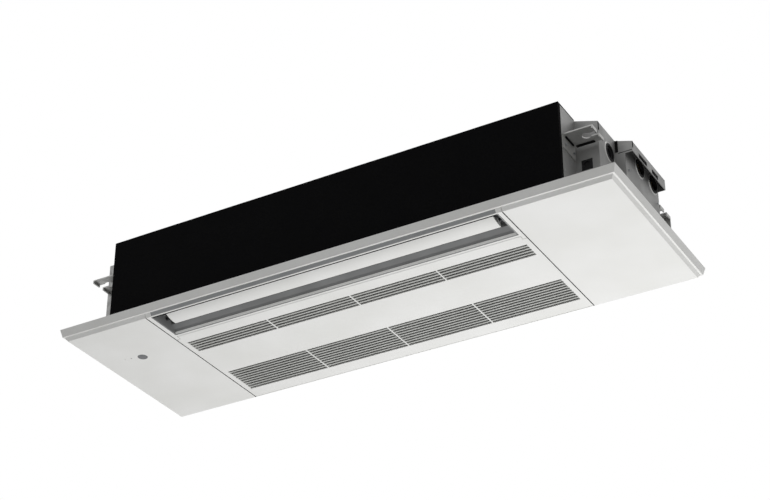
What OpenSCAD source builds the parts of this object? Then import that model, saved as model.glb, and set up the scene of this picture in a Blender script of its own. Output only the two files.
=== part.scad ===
// One-way ceiling cassette air conditioner, with its decoration panel fitted.
// Millimetres, +Z up. The origin is the centre of the panel on the plane where it meets the ceiling:
// the panel hangs below that plane and the body stands above it, in the ceiling void.
// +X points to the pipe end, and +Y to the rear, away from the air outlet.

/* [Panel] */
// Length of the panel
panel_len = 1200; // [1195:1:1210]
// Depth of the panel
panel_depth = 414; // [412:1:420]
// Drop of the flat deck below the ceiling
deck_drop = 23.4; // [23.2:0.1:25]
// Height of the upright rim
rim_drop = 16; // [14:0.5:17]
// Inward lean of the rim over its height
rim_lean = 4.3; // [3:0.1:5]
// Width of the flat ledge below the rim
ledge_w = 3.5; // [3:0.1:4.5]
// Inward run of the slope between ledge and deck
slope_run = 4.7; // [4:0.1:5.5]
// Wall thickness of the panel mouldings
skin = 2.5; // [2.2:0.1:2.8]
// Width of the dark joint lines
joint_gap = 1; // [0.6:0.1:1.4]
// Distance of the left joint line from the body's left end
motor_room = 94; // [92.5:0.5:96]
// Distance of the right joint line from the body's right end
pipe_room = 116; // [114:0.5:116.5]
// Thickness of the base plate behind the covers
base_t = 4; // [3:0.5:5]
// Play between the base plate and the rim
base_play = 0.7; // [0.4:0.1:1.2]
// Radius of the posts under the covers
post_r = 4; // [3:0.5:6]
// Distance of the cover posts from the panel's ends
post_in_x = 40; // [30:1:60]
// Distance of the cover posts from the panel's long edges
post_in_y = 47; // [40:1:60]
// Distance of the inner cover posts from the joint lines
post_in_joint = 22; // [16:1:40]
// Width of the grooves in the base plate's back
seal_w = 1.5; // [1:0.1:2]
// Depth of those grooves
seal_d = 0.5; // [0.3:0.1:1]
// Distance of the outer groove from what stands on the plate
seal_gap = 3; // [2:0.5:4]
// Radius of the base plate's hole over the manual button
button_hole_r = 6; // [5:0.5:8]

/* [Outlet] */
// Distance of the outlet recess from the left joint line
outlet_in_left = 13; // [12:0.5:14]
// Distance of the outlet recess from the right joint line
outlet_in_right = 12; // [11:0.5:13]
// Distance of the recess's far edge from the panel's front edge
outlet_far_in = 95; // [94.5:0.1:95.2]
// Forward step from that edge to the bend of its bevel
bevel_run = 6; // [5:0.5:7]
// Height of the bevel
bevel_rise = 8; // [7:0.5:9]
// Forward step of the slope above the bevel
throat_run = 10; // [9:0.5:11]
// Height of that slope
throat_rise = 6; // [5:0.5:7]
// Forward step of the upright wall above the slope
throat_back = 1; // [0.5:0.1:1.5]
// Wall thickness of the outlet liner
liner_t = 2.5; // [2:0.1:3]
// Depth of the liner's shelf that meets the body
shelf_w = 15.7; // [15:0.1:17]
// Thickness of that shelf
shelf_t = 2; // [1.5:0.1:2.2]
// Thickness of the grey strip let into the front slope
strip_t = 0.9; // [0.6:0.1:1.2]
// Shares of the slope where the strip starts and ends
strip_shares = [0.04, 0.88]; // [0:0.01:1]

/* [Vane] */
// Distance of the vane from the recess's left end
vane_in_left = 17.5; // [16:0.5:19]
// Distance of the vane from the recess's right end
vane_in_right = 18; // [17:0.5:19]
// Radius of the vane's lower face
vane_r = 66.2; // [65:0.2:67]
// Thickness of the vane
vane_t = 3.6; // [3:0.1:3.8]
// Distance of the vane's lowest line from the panel's front edge
vane_low_in = 62; // [61.5:0.1:62.5]
// Height of that line above the deck's face
vane_low_h = 7; // [6.8:0.1:8]
// Reach of the vane in front of its lowest line
vane_front = 36; // [34:0.5:36.5]
// Reach of the vane behind its lowest line
vane_rear = 6; // [5:0.5:7]
// Distance of the vane's axis in front of its lowest line
vane_axis_front = 1; // [0.5:0.1:1.5]
// Height of the vane's axis above the deck's face
vane_axis_h = 18; // [17.8:0.1:18.4]
// Radius of the vane's stub pins
vane_pin_r = 2.5; // [2:0.1:2.8]
// Radius of the vane's end lugs
vane_lug_r = 4.4; // [4:0.1:4.8]
// Width of the vane's end lugs
vane_lug_w = 6; // [4:0.5:8]
// Radius of the swing motor
swing_motor_r = 13; // [11:0.5:14]
// Length of the swing motor
swing_motor_len = 17; // [14:0.5:19]
// Radius of the swing motor's shaft
swing_shaft_r = 1.5; // [1.2:0.1:1.7]

/* [Louvres] */
// Number of blades in each of the two gangs
gang_blades = 3; // [3:1:3]
// Height of the blades' lower edge
blade_z0 = 6; // [5:0.5:8]
// Height of the blades' upper edge
blade_z1 = 34; // [32:0.5:36]
// Thickness of a blade
blade_t = 1.6; // [1.4:0.1:2]
// Reach of a blade in front of its axis
blade_front = 21; // [18:0.5:22]
// Reach of a blade behind its axis
blade_rear = 15; // [12:0.5:16]
// Distance of the blades' axes from the panel's front edge
blade_axis_in = 56; // [55:0.5:57]
// Radius of the blades' pivot pins
blade_pin_r = 1.5; // [1.3:0.1:1.7]
// Radius of the washer under the rail
blade_washer_r = 3; // [2.5:0.1:3.5]
// Height of the washer under the rail
washer_h = 2; // [1.5:0.1:2.5]
// Thickness of the rail that carries the blades
rail_t = 4; // [3:0.5:5]
// Half width of that rail
rail_half = 4.5; // [4:0.1:5]
// Distance of the crank pins in front of the axes
crank_len = 13; // [12:0.5:14]
// Radius of the crank pins
crank_r = 1.2; // [1:0.1:1.3]
// Half width of a link bar
link_half = 2.8; // [2.5:0.1:3]
// Thickness of a link bar
link_t = 2; // [1.6:0.1:2.4]
// Gap between the blades and a link bar
link_gap = 0.5; // [0.3:0.1:0.6]
// Overhang of a link bar beyond its end pins
link_over = 6; // [4:0.5:8]

/* [Intake grille] */
// Distance of the grille from the outlet recess
grille_in = 8.4; // [8.1:0.1:8.5]
// Radius of the rolled front edge that holds the hinge pins
barrel_r = 3; // [2.8:0.1:3.2]
// Radius of the hinge pins
hinge_pin_r = 1.5; // [1.3:0.1:1.6]
// Depth of a hinge pin in the grille
hinge_pin_in = 12; // [8:1:16]
// Width of the lugs on the frame that hold the pins
ear_w = 8.5; // [8:0.1:9]
// Reach of those lugs behind the grille's front edge
ear_len = 10.6; // [9.6:0.1:11.6]
// Gap round the lugs
ear_gap = 1; // [0.8:0.1:1.2]
// Distance of the slots from the joint lines
slots_in = 12; // [11.5:0.5:13]
// Number of fields beside each other
slot_fields = 4; // [2:2:6]
// Width of the ribs between the fields
field_rib = 2.4; // [2:0.1:4]
// Width of a slot
slot_w = 5.4; // [5:0.1:5.8]
// Distance from slot to slot
slot_pitch = 9.1; // [9:0.1:9.3]
// Distance of the near slots from the grille's front edge
near_slots_in = 30.6; // [29.6:0.1:31.6]
// Distance of the far slots' front from the panel's rear edge
far_slots_in = 136; // [135:0.5:137]
// Number of near slots and of far slots
slot_counts = [5, 10]; // [4:1:10]
// Recess of the slats behind the face
slat_recess = 0.6; // [0.4:0.1:1.2]
// Thickness of the slats
slat_t = 2.2; // [1.8:0.1:2.6]
// Width of the ribs that carry the filters
seat_w = 2; // [1.5:0.1:3]
// Height of those ribs
seat_h = 2.9; // [2.8:0.1:3.2]

/* [Filters] */
// Distance of the filters from the grille's front edge
filter_in_front = 13.6; // [13:0.1:15]
// Distance of the filters from the panel's rear edge
filter_in_rear = 36; // [35.5:0.5:38]
// Distance of the filters from the slots' ends
filter_in = 3; // [2.5:0.1:4]
// Gap between the two filters
filter_gap = 3; // [2:0.5:5]
// Height of the filter frames
filter_h = 5; // [4:0.5:6]
// Width of the filter frames' bars
filter_bar = 6; // [5:0.5:9]
// Thickness of the net
net_t = 0.6; // [0.4:0.1:0.8]
// Number of net fields along a filter
filter_fields = 4; // [2:1:6]

/* [Catches] */
// Distance of the push catches from the middle of the grille
catch_x = 190; // [180:1:200]
// Half width of a catch
catch_half = 8; // [7:0.5:9]
// Distance of the catches' front from the panel's rear edge
catch_in = 31; // [30.5:0.5:31.5]
// Depth of a catch
catch_d = 12; // [11:0.5:12.5]
// Height of a catch
catch_h = 10; // [9.5:0.1:10.5]
// Radius of a catch's plunger
plunger_r = 2.9; // [2.6:0.1:3.2]
// Length of a plunger
plunger_len = 7.4; // [7:0.1:7.8]
// Reach of a plunger below its catch
plunger_out = 4.4; // [4:0.1:4.6]
// Top wall of a catch
catch_wall = 1; // [0.8:0.1:1.2]
// Gap between plunger and striker
striker_gap = 0.3; // [0.2:0.1:0.5]

/* [Receiver] */
// Distance of the receiver window from the left joint line
window_in = 100; // [98:0.5:102]
// Depthwise place of the receiver window
window_y = -68; // [-69:0.5:-67]
// Radius of the receiver window
window_r = 10.3; // [9.5:0.1:11]
// Width of the lip behind a lens
lens_lip = 2; // [1.5:0.1:2.5]
// Thickness of the lip behind a lens
lip_t = 1.4; // [1:0.1:1.8]
// Distance of the lamp lens beside the window's middle
lamp_dx = 23.5; // [22:0.5:25]
// Distance of the lamp lens in front of the window's middle
lamp_dy = 6; // [5:0.5:7]
// Radius of the lamp lens
lamp_r = 1.5; // [1.2:0.1:1.8]
// Distance of the manual button beside the window's middle
button_dx = 37; // [35:0.5:39]
// Distance of the manual button in front of the window's middle
button_dy = 7; // [6:0.5:8]
// Radius of the manual button
button_r = 2.2; // [2:0.1:2.4]
// Reach of the button below the deck
button_out = 0.6; // [0.4:0.1:1]
// Height of the button above the cover's inner face
button_in = 3; // [2.4:0.1:3.2]
// Half length and half width of the receiver board
board_half = [34, 18]; // [16:0.5:35]
// Height of the receiver board above the cover's inner face
board_lift = 6; // [5.5:0.1:7]
// Radius of the receiver board's posts
board_post_r = 2; // [1.5:0.1:2.5]
// Thickness of the circuit boards
board_t = 1.6; // [1.2:0.1:2]

/* [Body] */
// Distance of the body's ends from the panel's ends
body_in_x = 108; // [107:0.5:110]
// Distance of the body from the panel's long edges
body_in_y = 27; // [26.5:0.5:28]
// Height of the body
body_h = 175; // [174:0.5:180]
// Thickness of the sheet metal
sheet = 1.2; // [1:0.1:1.5]
// Thickness of the black front insulation
foam_t = 10; // [9:0.5:11]
// Thickness of the insulation's flap over the top
flap_t = 3.5; // [2.5:0.1:4]
// Depth of that flap
flap_w = 60; // [40:5:100]
// Width of the inward flanges at the body's ends
flange_w = 15; // [13:0.5:17]

/* [Hangers] */
// Reach of the hanger brackets beyond the body
hanger_len = 59; // [57:0.5:61]
// Distance of a bracket's edge from the body's corner
hanger_edge = 2; // [1:0.5:2.5]
// Width of a bracket
hanger_w = 50; // [48:0.5:50.5]
// Depth of a bracket's top face below the body's top
hanger_drop = 61; // [57:0.5:65]
// Thickness of a bracket
hanger_t = 2.5; // [2:0.1:3]
// Height of the lips at a bracket's end and on the body
hanger_lips = [7, 30]; // [6:0.5:32]
// Distance of the rod's seat from the bracket's end
seat_in = 22; // [20:0.5:25]
// Radius of the rod's seat
seat_r = 9; // [9:0.1:9.5]
// Width of the mouth that the rod enters by
mouth_w = 12; // [11:0.1:12]

/* [Control box] */
// Depth of the control box along the body
control_w = 59; // [57:0.5:61]
// Gap between the control box and the brackets beside it
control_gap = 0.5; // [0.5:0.5:8]
// Clearance of the end boxes above the panel
box_lift = 3; // [2:0.5:5]
// Clearance of the control box below the body's top
box_top = 1; // [0.5:0.1:2]
// Distance of the control board's edges from the box's walls
control_board_in = 28; // [26:0.5:36]
// Height of the control board's posts
control_post = 8; // [6:0.5:10]
// Radius of the control board's posts
control_post_r = 3; // [2.5:0.1:4]
// Size of the large capacitor: radius and height
capacitor = [11, 28]; // [9:0.5:30]
// Sizes of the relay blocks on the board
relay = [16, 20, 14]; // [12:0.5:22]

/* [Pipe bay] */
// Reach of the low part of the bay
bay_a_w = 46; // [44:0.5:48]
// Reach of the high part of the bay
bay_b_w = 65; // [63:0.5:67]
// Reach of the hood over the ports
hood_w = 80; // [78:0.5:82]
// Gap between the bay's front and the bracket beside it
bay_front_gap = 7; // [6.5:0.1:9]
// Depth of the bay's low part
bay_a_d = 75; // [74:0.5:76]
// Gap between the bay's rear and the bracket beside it
bay_rear_gap = 21; // [19:0.5:22]
// Fall of the bay's sloping top for each unit of its reach
bay_fall = 0.32; // [0.3:0.01:0.34]
// Depth of the hood's lower edge below the body's top
hood_drop = 47.5; // [46.5:0.5:49]
// Height of the strip below the hood's slots
hood_strip = 2; // [1.5:0.1:3]
// Middles of the hood's slots, as shares of the bay's high part
hood_slot_shares = [0.3137, 0.6797]; // [0.3:0.0001:0.7]
// Lengths of the hood's slots, as shares of the bay's high part
hood_len_shares = [0.2484, 0.1961]; // [0.1:0.0001:0.3]
// Height of the hood's slots
hood_slot_h = 10; // [8:0.5:12]
// Distance of the cable window from the body's end
cable_in = 10.5; // [10:0.5:12]
// Depth of the cable window's lower edge below the drain port
cable_drop = 55; // [53:0.5:57]
// Width of the cable window
cable_w = 21; // [19:0.5:21]
// Radius of the cable hole in its grommet
cable_r = 6.5; // [5:0.1:8]
// Thickness of the grommets
grommet_t = 5; // [4:0.5:6]
// Width of a grommet's ring
grommet_ring = 2.4; // [2:0.1:3]
// Depth of a grommet's groove
groove_d = 1.2; // [0.8:0.1:1.4]
// Radius of the round ports
port_r = 15; // [14:0.1:16]
// Sizes of the terminal block
terminal = [18, 60, 26]; // [16:0.5:64]
// Distance of the terminal block behind the bay's front and below the cable window
terminal_in = 7; // [5:0.5:8]
// Number of terminals
terminals = 5; // [3:1:6]

/* [Fan] */
// Distance of the fan's axis from the body's front
fan_in = 68; // [67:0.5:69]
// Gap between the wheel and the body's top
fan_high = 29; // [28:0.5:31]
// Gap between the wheel and the tongue's tip
tongue_gap = 6; // [5.5:0.5:8]
// Depth of the fan's blade ring
fan_ring = 9; // [8:0.5:11]
// Gap between the wheel and the end walls
fan_gap = 7; // [6:0.5:8]
// Number of blades round the wheel
fan_blades = 30; // [24:1:34]
// Number of wheel sections between discs
fan_sections = 8; // [6:1:10]
// Thickness of a blade
fan_blade_t = 1.2; // [1:0.1:1.6]
// Lean of a blade over its depth
fan_blade_lean = 5; // [4:0.5:6]
// Thickness of the discs
disc_t = 3; // [2.5:0.1:4]
// Radius of the fan's shafts
shaft_r = 4; // [3.5:0.1:4.5]
// Radius of the wheel's hubs
hub_r = 10; // [8:0.5:12]
// Length of the wheel's hubs
hub_len = 14; // [10:1:18]
// Radius of the fan motor
motor_r = 38; // [36:0.5:40]
// Length of the fan motor
motor_len = 62; // [58:1:66]
// Distance of the motor from the left end wall
motor_gap = 20; // [18:0.5:22]
// Radius of the motor's mounting flange
motor_flange_r = 44; // [42:0.5:45]
// Thickness of the mounting flange
motor_flange_t = 3; // [2.5:0.1:4]
// Outer radius of the fan bearing
bearing_r = 12; // [11:0.5:13]
// Thickness of the fan bearing
bearing_t = 6; // [5:0.5:7]
// Radius of the bearing's holder
holder_r = 26; // [22:0.5:28]
// Thickness of the bearing's holder
holder_t = 8; // [7:0.5:9]
// Thickness of the fan chamber's end walls
wall_t = 3; // [2.5:0.1:3]
// Gap between wheel and scroll at the scroll's start
scroll_gap = 6; // [5:0.5:7]
// Distance of the scroll's end from the body's front
scroll_front = 5; // [4:0.5:6]
// Angles of the scroll's start and end
scroll_angles = [55, 192]; // [50:1:195]
// Steps of the scroll's curve
scroll_steps = 14; // [10:1:20]
// Depth of the scroll wall at the outlet
scroll_foot = 4; // [3.5:0.1:5]
// Height of the tongue's tip
tongue_z = 48; // [46:0.5:48.5]
// Distance of the tongue's tip behind the fan's axis
tongue_back = 8; // [7:0.5:9]
// Thickness of the tongue at its foot
tongue_foot = 10; // [9:0.5:11]
// Reach of the tongue in front of its tip
tongue_front = 16; // [15:0.5:17]

/* [Coil] */
// Distance of the coil's lower end behind the fan's axis
coil_back = 80.4; // [80:0.1:81.4]
// Height of the coil's lower end above the drain pan
coil_rise = 5.2; // [5:0.1:6]
// Distance of the coil's upper end from the body's rear
coil_rear = 49.1; // [48.5:0.1:51]
// Depth of the coil's upper end below the body's top
coil_drop = 16.2; // [16:0.1:18]
// Thickness of the coil
coil_t = 26; // [24:0.5:27]
// Number of tubes in a row
coil_tubes_n = 8; // [6:2:8]
// Distance between the two rows
row_pitch = 13; // [12:0.1:14]
// Radius of the coil's tubes
tube_r = 3.5; // [3:0.1:3.8]
// Reach of the tubes beyond the coil's end plates
tube_out = 8; // [6:0.5:10]
// Width by which the end plates overlap the fan chamber's walls
plate_lap = 8; // [6:0.5:10]
// Places of the gas and liquid ports, as shares of the bay's high part
port_shares = [0.4346, 0.8333]; // [0.4:0.0001:0.85]
// Depths of the gas and liquid ports below the body's top
port_drops = [43, 44]; // [42:0.5:45]
// Radii of the gas and liquid pipes
pipe_rs = [6.35, 3.2]; // [3:0.05:6.5]
// Distance of the pipes' turn from the body's end
pipe_turn_in = 52; // [46:1:62]
// Swell of a pipe at its elbows, as a share of its radius
elbow_swell = 1.04; // [1.02:0.01:1.08]
// Radii of the gas and liquid thread ends
union_rs = [9.5, 5.6]; // [5:0.1:10]
// Radii across the corners of the union nuts
union_hex_rs = [13, 9]; // [8:0.1:13.5]
// Length of a union's thread
union_thread = 15; // [13:0.5:16]
// Length of a union's nut
union_nut = 10; // [8:0.5:12]
// Recess of the unions behind the bay's wall
union_recess = 2; // [1.5:0.1:3]

/* [Drain] */
// Distance of the drain pan's front behind the fan's axis
pan_back = 12; // [11.5:0.5:13]
// Depth of the drain pan
pan_d = 92; // [90:0.5:93]
// Underside of the drain pan
pan_z0 = 12; // [10:0.5:13]
// Top of the drain pan
pan_z1 = 36; // [35:0.5:36.4]
// Wall and floor thickness of the pan
pan_wall = 6; // [5:0.5:6]
// Distance of the drain pump from the body's end
pump_in = 62; // [60:0.5:64]
// Distance of the drain pump and its port from the body's front
drain_in = 106; // [105:0.5:107]
// Radius of the pump's housing
pump_r = 15; // [14:0.5:16]
// Height of the pump's housing above the pan's floor
pump_lift = 4; // [3:0.5:5]
// Height of the pump's housing
pump_h = 40; // [38:0.5:42]
// Radius of the pump's motor
pump_motor_r = 20; // [18:0.5:21]
// Height of the pump's motor
pump_motor_h = 34; // [30:1:36]
// Thickness of the impeller's blades
impeller_t = 1.2; // [1:0.1:1.6]
// Radius of the impeller
impeller_r = 9; // [8:0.5:10]
// Height of the impeller
impeller_h = 8; // [7:0.5:9]
// Radius of the impeller's shaft
impeller_shaft_r = 2; // [1.8:0.1:2.4]
// Wall of the pump's housing
pump_wall = 3; // [2.5:0.1:3.5]
// Radius of the drain tube
drain_r = 10; // [9:0.5:10.5]
// Wall of the drain tube
drain_wall = 2; // [1.5:0.1:2.5]
// Height of the pump's outlet
drain_low_z = 48; // [46:0.5:50]
// Depth of the drain port below the body's top
drain_drop = 57; // [55:0.5:59]
// Distance of the tube's rise from the body's end
drain_rise_in = 22; // [20:0.5:24]
// Radius of the drain socket
socket_r = 13; // [12.5:0.1:13.5]
// Length of the drain socket
socket_len = 30; // [26:1:34]
// Depth of the socket's bore
socket_bore = 18; // [16:0.5:20]
// Distance of the float from the body's end
float_in = 30; // [28:0.5:34]
// Distance of the float in front of the drain pan's rear
float_front = 28; // [26:0.5:30]
// Radius of the float's stem
float_stem_r = 3; // [2.5:0.1:3.5]
// Height of the float's stem
float_stem_h = 40; // [36:1:44]
// Radius of the float
float_r = 9; // [8:0.5:10]
// Height of the float
float_h = 10; // [8:0.5:12]
// Height of the float's rest above the pan's floor
float_rest = 3; // [2:0.5:4]

/* [Fasteners] */
// Radius of the panel screws
screw_r = 2.5; // [2:0.1:2.8]
// Radius of the screws' heads
screw_head_r = 4.5; // [4:0.1:5]
// Height of the screws' heads
screw_head_h = 2.6; // [2:0.1:3]
// Length of the panel screws' shanks
screw_len = 16; // [14:1:20]
// Radius of the sheet-metal screws
sheet_screw_r = 2.2; // [1.8:0.1:2.4]
// Length of the sheet-metal screws' shanks
sheet_screw_len = 4.5; // [3:0.5:6]
// Distance of the panel screws from the body's middle
panel_screw_y = 100; // [90:1:105]

/* [Fits] */
// Clearance of a turning or sliding pin in its hole
run_clear = 0.06; // [0.02:0.01:0.1]
// Gap between parts that only lie inside each other
lie_clear = 0.3; // [0.2:0.05:0.4]
// Gap round what passes through a wall or plate
pass_clear = 1; // [0.6:0.1:1.4]

/* [Hidden] */
$fn = 48;
cut = skin / 2;
ivory = "white";
steel = "silver";
foam = "dimgray";

// Levels of the panel
deck_z = -deck_drop;
deck_in = deck_z + skin;
base_z = -base_t;
half_x = panel_len / 2;
half_y = panel_depth / 2;
deck_half_y = half_y - rim_lean - ledge_w - slope_run;
body_half_x = half_x - body_in_x;
body_half_y = half_y - body_in_y;
left_joint_x = motor_room - body_half_x;
right_joint_x = body_half_x - pipe_room;
base_half_x = half_x - skin - rim_lean - base_play;
base_half_y = half_y - skin - rim_lean - base_play;
cover_x0 = left_joint_x + joint_gap / 2;
cover_x1 = right_joint_x - joint_gap / 2;

// Ends of the outlet recess, and lines of its far wall and near wall
outlet_x0 = left_joint_x + outlet_in_left;
outlet_x1 = right_joint_x - outlet_in_right;
outlet_far_y = outlet_far_in - half_y;
near_y = -deck_half_y + skin + lie_clear;
bevel_y = outlet_far_y - bevel_run;
throat_y = bevel_y - throat_run;
throat_top_y = throat_y - throat_back;
bevel_z = deck_z + bevel_rise;
throat_z = bevel_z + throat_rise;
liner_x0 = outlet_x0 - liner_t;
liner_x1 = outlet_x1 + liner_t;

// Vane, louvres and grille
vane_x0 = outlet_x0 + vane_in_left;
vane_x1 = outlet_x1 - vane_in_right;
vane_low_y = vane_low_in - half_y;
vane_low_z = deck_z + vane_low_h;
vane_axis_y = vane_low_y - vane_axis_front;
vane_axis_z = deck_z + vane_axis_h;
blade_axis_y = blade_axis_in - half_y;
grille_x0 = cover_x0;
grille_x1 = cover_x1;
grille_y0 = outlet_far_y + grille_in;
ear_y1 = grille_y0 + ear_len;
slots_x0 = left_joint_x + slots_in;
slots_len = right_joint_x - slots_in - slots_x0;
barrel_y = grille_y0 + barrel_r;
barrel_z = deck_z + barrel_r;
grille_y1 = deck_half_y - joint_gap - skin / 2;
grille_mid = slots_x0 + slots_len / 2;
zone_starts = [grille_y0 + near_slots_in, half_y - far_slots_in];
filter_y0 = grille_y0 + filter_in_front;
filter_y1 = half_y - filter_in_rear;
catch_ys = [half_y - catch_in, half_y - catch_in + catch_d];
rail_z = blade_z1 + washer_h;
link_z = blade_z1 + link_gap;
gang_pitch = (outlet_x1 - outlet_x0) / (2 * gang_blades);
function blade_x(n) = outlet_x0 + gang_pitch * (n - 1 / 2);
seat_z = deck_in + seat_h;
base_y1 = catch_ys[0] - shelf_t;
base_hole_y1 = bevel_y - throat_run / 2 + liner_t;
window_x = left_joint_x - window_in;
lamp_x = window_x - lamp_dx;
lamp_y = window_y - lamp_dy;
button_x = window_x - button_dx;
button_y = window_y - button_dy;

// Body and brackets
foot_in = body_half_x - sheet;
inner_y = body_half_y - sheet;
inner_top = body_h - sheet;
hanger_x1 = body_half_x + hanger_len;
hanger_y = body_half_y - hanger_edge - hanger_w / 2;
hanger_z = body_h - hanger_drop;

// Fan and its chamber
fan_y = fan_in - body_half_y;
fan_r = (body_h - fan_high - tongue_gap - tongue_z) / 2;
fan_z = tongue_z + tongue_gap + fan_r;
tongue_y = fan_y + tongue_back;
motor_x1 = outlet_x0 - wall_t - motor_gap;
motor_x0 = motor_x1 - motor_len;
wheel_x0 = outlet_x0 + fan_gap;
wheel_x1 = outlet_x1 - fan_gap;
wall_x0 = outlet_x0 - wall_t;
wall_x1 = outlet_x1 + wall_t;

// Drain pan and coil
pan_y0 = fan_y + pan_back;
pan_y1 = pan_y0 + pan_d;
pan_floor = pan_z0 + pan_wall;
coil_x0 = wall_x0 - sheet;
coil_x1 = wall_x1 + sheet;
coil_low = [fan_y + coil_back, pan_z1 + coil_rise];
coil_high = [body_half_y - coil_rear, body_h - coil_drop];
coil_mid = (coil_low + coil_high) / 2;
coil_w = norm(coil_high - coil_low);
coil_lean = atan2(coil_high[1] - coil_low[1], coil_high[0] - coil_low[0]);
tube_pitch = coil_w / coil_tubes_n;

// Pipe bay, ports and pipes
bay_a_x = body_half_x + bay_a_w;
bay_b_x = body_half_x + bay_b_w;
hood_x = body_half_x + hood_w;
bay_y0 = hanger_w / 2 + bay_front_gap - hanger_y;
bay_y1 = bay_y0 + bay_a_d;
bay_y2 = hanger_y - hanger_w / 2 - bay_rear_gap;
bay_b_d = bay_y2 - bay_y1;
hood_z0 = body_h - hood_drop;
gas_at = [bay_y1 + port_shares[0] * bay_b_d, body_h - port_drops[0]];
liquid_at = [bay_y1 + port_shares[1] * bay_b_d, body_h - port_drops[1]];
pump_y = drain_in - body_half_y;
drain_z = body_h - drain_drop;
cable_x0 = body_half_x + cable_in;
cable_z0 = drain_z - cable_drop;
pipe_turn_x = body_half_x - pipe_turn_in;
union_x1 = bay_b_x - union_recess;
nut_x0 = union_x1 - union_thread - union_nut;

// Pump and control box
pump_x = body_half_x - pump_in;
pump_z0 = pan_floor + pump_lift;
pump_top = pump_z0 + pump_h + pump_motor_h;
float_at = [body_half_x - float_in, pan_y1 - float_front];
control_x1 = -body_half_x - control_w;
control_half = hanger_y - hanger_w / 2 - control_gap;
control_z1 = body_h - box_top;
control_mid_z = (box_lift + control_z1) / 2;
control_board_half = [control_mid_z - box_lift - control_board_in, control_half - control_board_in];
board_x = control_x1 + sheet + control_post;

// A block given by its three ranges
module block(x, y, z) {
    translate([x[0], y[0], z[0]]) cube([x[1] - x[0], y[1] - y[0], z[1] - z[0]]);
}

// A drawing in depth and height, pulled along the panel
module along_x(x0, x1) {
    translate([x0, 0, 0]) rotate([90, 0, 90]) linear_extrude(x1 - x0) children();
}

// A drawing in length and height, pulled through the depth
module along_y(y0, y1) {
    translate([0, y1, 0]) rotate([90, 0, 0]) linear_extrude(y1 - y0) children();
}

module rod_x(x0, x1, y, z, r) {
    translate([x0, y, z]) rotate([0, 90, 0]) cylinder(r = r, h = x1 - x0);
}

module rod_z(x, y, z0, z1, r) {
    translate([x, y, z0]) cylinder(r = r, h = z1 - z0);
}

// A pipe through a list of points, with round joints
module pipe_run(points, r) {
    for (i = [1:len(points) - 1]) {
        d = points[i] - points[i - 1];
        translate(points[i - 1]) rotate([0, acos(d[2] / norm(d)), atan2(d[1], d[0])])
            cylinder(r = r, h = norm(d));
        if (i < len(points) - 1) translate(points[i]) sphere(r = r * elbow_swell);
    }
}

// The panel's section: upright rim, ledge, slope and deck, moved in and up by t
function panel_section(half, t) = let (h = half - t, top = t > 0 ? cut : 0)
    [for (side = [-1, 1]) for (p = side < 0
        ? [[h, top], [h - rim_lean, t - rim_drop], [h - rim_lean - ledge_w, t - rim_drop],
           [h - rim_lean - ledge_w - slope_run, t + deck_z]]
        : [[h - rim_lean - ledge_w - slope_run, t + deck_z], [h - rim_lean - ledge_w, t - rim_drop],
           [h - rim_lean, t - rim_drop], [h, top]])
        [side * p[0], p[1]]];

module panel_solid(t) {
    intersection() {
        along_x(-half_x, half_x) polygon(panel_section(half_y, t));
        along_y(-half_y, half_y) polygon(panel_section(half_x, t));
    }
}

module panel_shell(x0, x1) {
    intersection() {
        difference() {
            panel_solid(0);
            panel_solid(skin);
        }
        block([x0, x1], [-half_y, half_y], [deck_z, 0]);
    }
}

// Flat frame that is screwed to the body and carries the covers
module panel_base() {
    color(ivory) difference() {
        block([-base_half_x, base_half_x], [-base_half_y, base_half_y], [base_z, 0]);
        block([liner_x0 - pass_clear, outlet_x1 + liner_t + swing_motor_len + pass_clear],
              [near_y - lie_clear, base_hole_y1], [base_z - cut, cut]);
        block([slots_x0 - seat_w, slots_x0 + slots_len + seat_w], [grille_y0 + seat_w * 2, base_y1],
              [base_z - cut, cut]);
        panel_screw_places() cylinder(r = screw_r + run_clear, h = screw_len, center = true);
        rod_z(button_x, button_y, base_z - cut, cut, button_hole_r);
        base_grooves();
    }
}

// Shallow grooves in the base plate's back: the outer one parts the border that lies on the ceiling
// from the ground that the body stands on, and two run beside the openings
module base_grooves() {
    x = hood_x + seal_gap;
    y = body_half_y + foam_t + seal_gap;
    difference() {
        block([-x - seal_w, x + seal_w], [-y - seal_w, y + seal_w], [-seal_d, cut]);
        block([-x, x], [-y, y], [-seal_d - cut, 2 * cut]);
    }
    for (x0 = [slots_x0, slots_x0 + slots_len - seal_w])
        block([x0, x0 + seal_w], [-y, y], [-seal_d, cut]);
}

module panel_screw_places() {
    for (x = [-1, 1] * (foot_in - flange_w / 2)) for (y = [-1, 1] * panel_screw_y)
        translate([x, y, base_z]) children();
}

module cover_posts(x_end, x_joint) {
    for (x = [x_end, x_joint]) for (y = [-1, 1] * (half_y - post_in_y))
        rod_z(x, y, deck_in - cut, base_z, post_r);
}

// End covers with mitred corners; the left one carries the remote receiver
module side_cover_left() {
    color(ivory) difference() {
        union() {
            panel_shell(-half_x, left_joint_x - joint_gap / 2);
            cover_posts(post_in_x - half_x, left_joint_x - post_in_joint);
        }
        rod_z(window_x, window_y, deck_z - cut, deck_in + cut, window_r + run_clear);
        rod_z(lamp_x, lamp_y, deck_z - cut, deck_in + cut, lamp_r + run_clear);
        rod_z(button_x, button_y, deck_z - cut, deck_in + cut, button_r + run_clear);
    }
}

module side_cover_right() {
    color(ivory) {
        panel_shell(right_joint_x + joint_gap / 2, half_x);
        cover_posts(half_x - post_in_x, right_joint_x + post_in_joint);
    }
}

// The slope that the grey strip is let into, moved in by d
function slope_line(d) = [for (s = strip_shares)
    [-deck_half_y - slope_run * (1 - s) + d, -rim_drop + s * (rim_drop - deck_drop)]];

module strip_drawing(d0, d1) {
    polygon([slope_line(d0)[0], slope_line(d0)[1], slope_line(d1)[1], slope_line(d1)[0]]);
}

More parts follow.
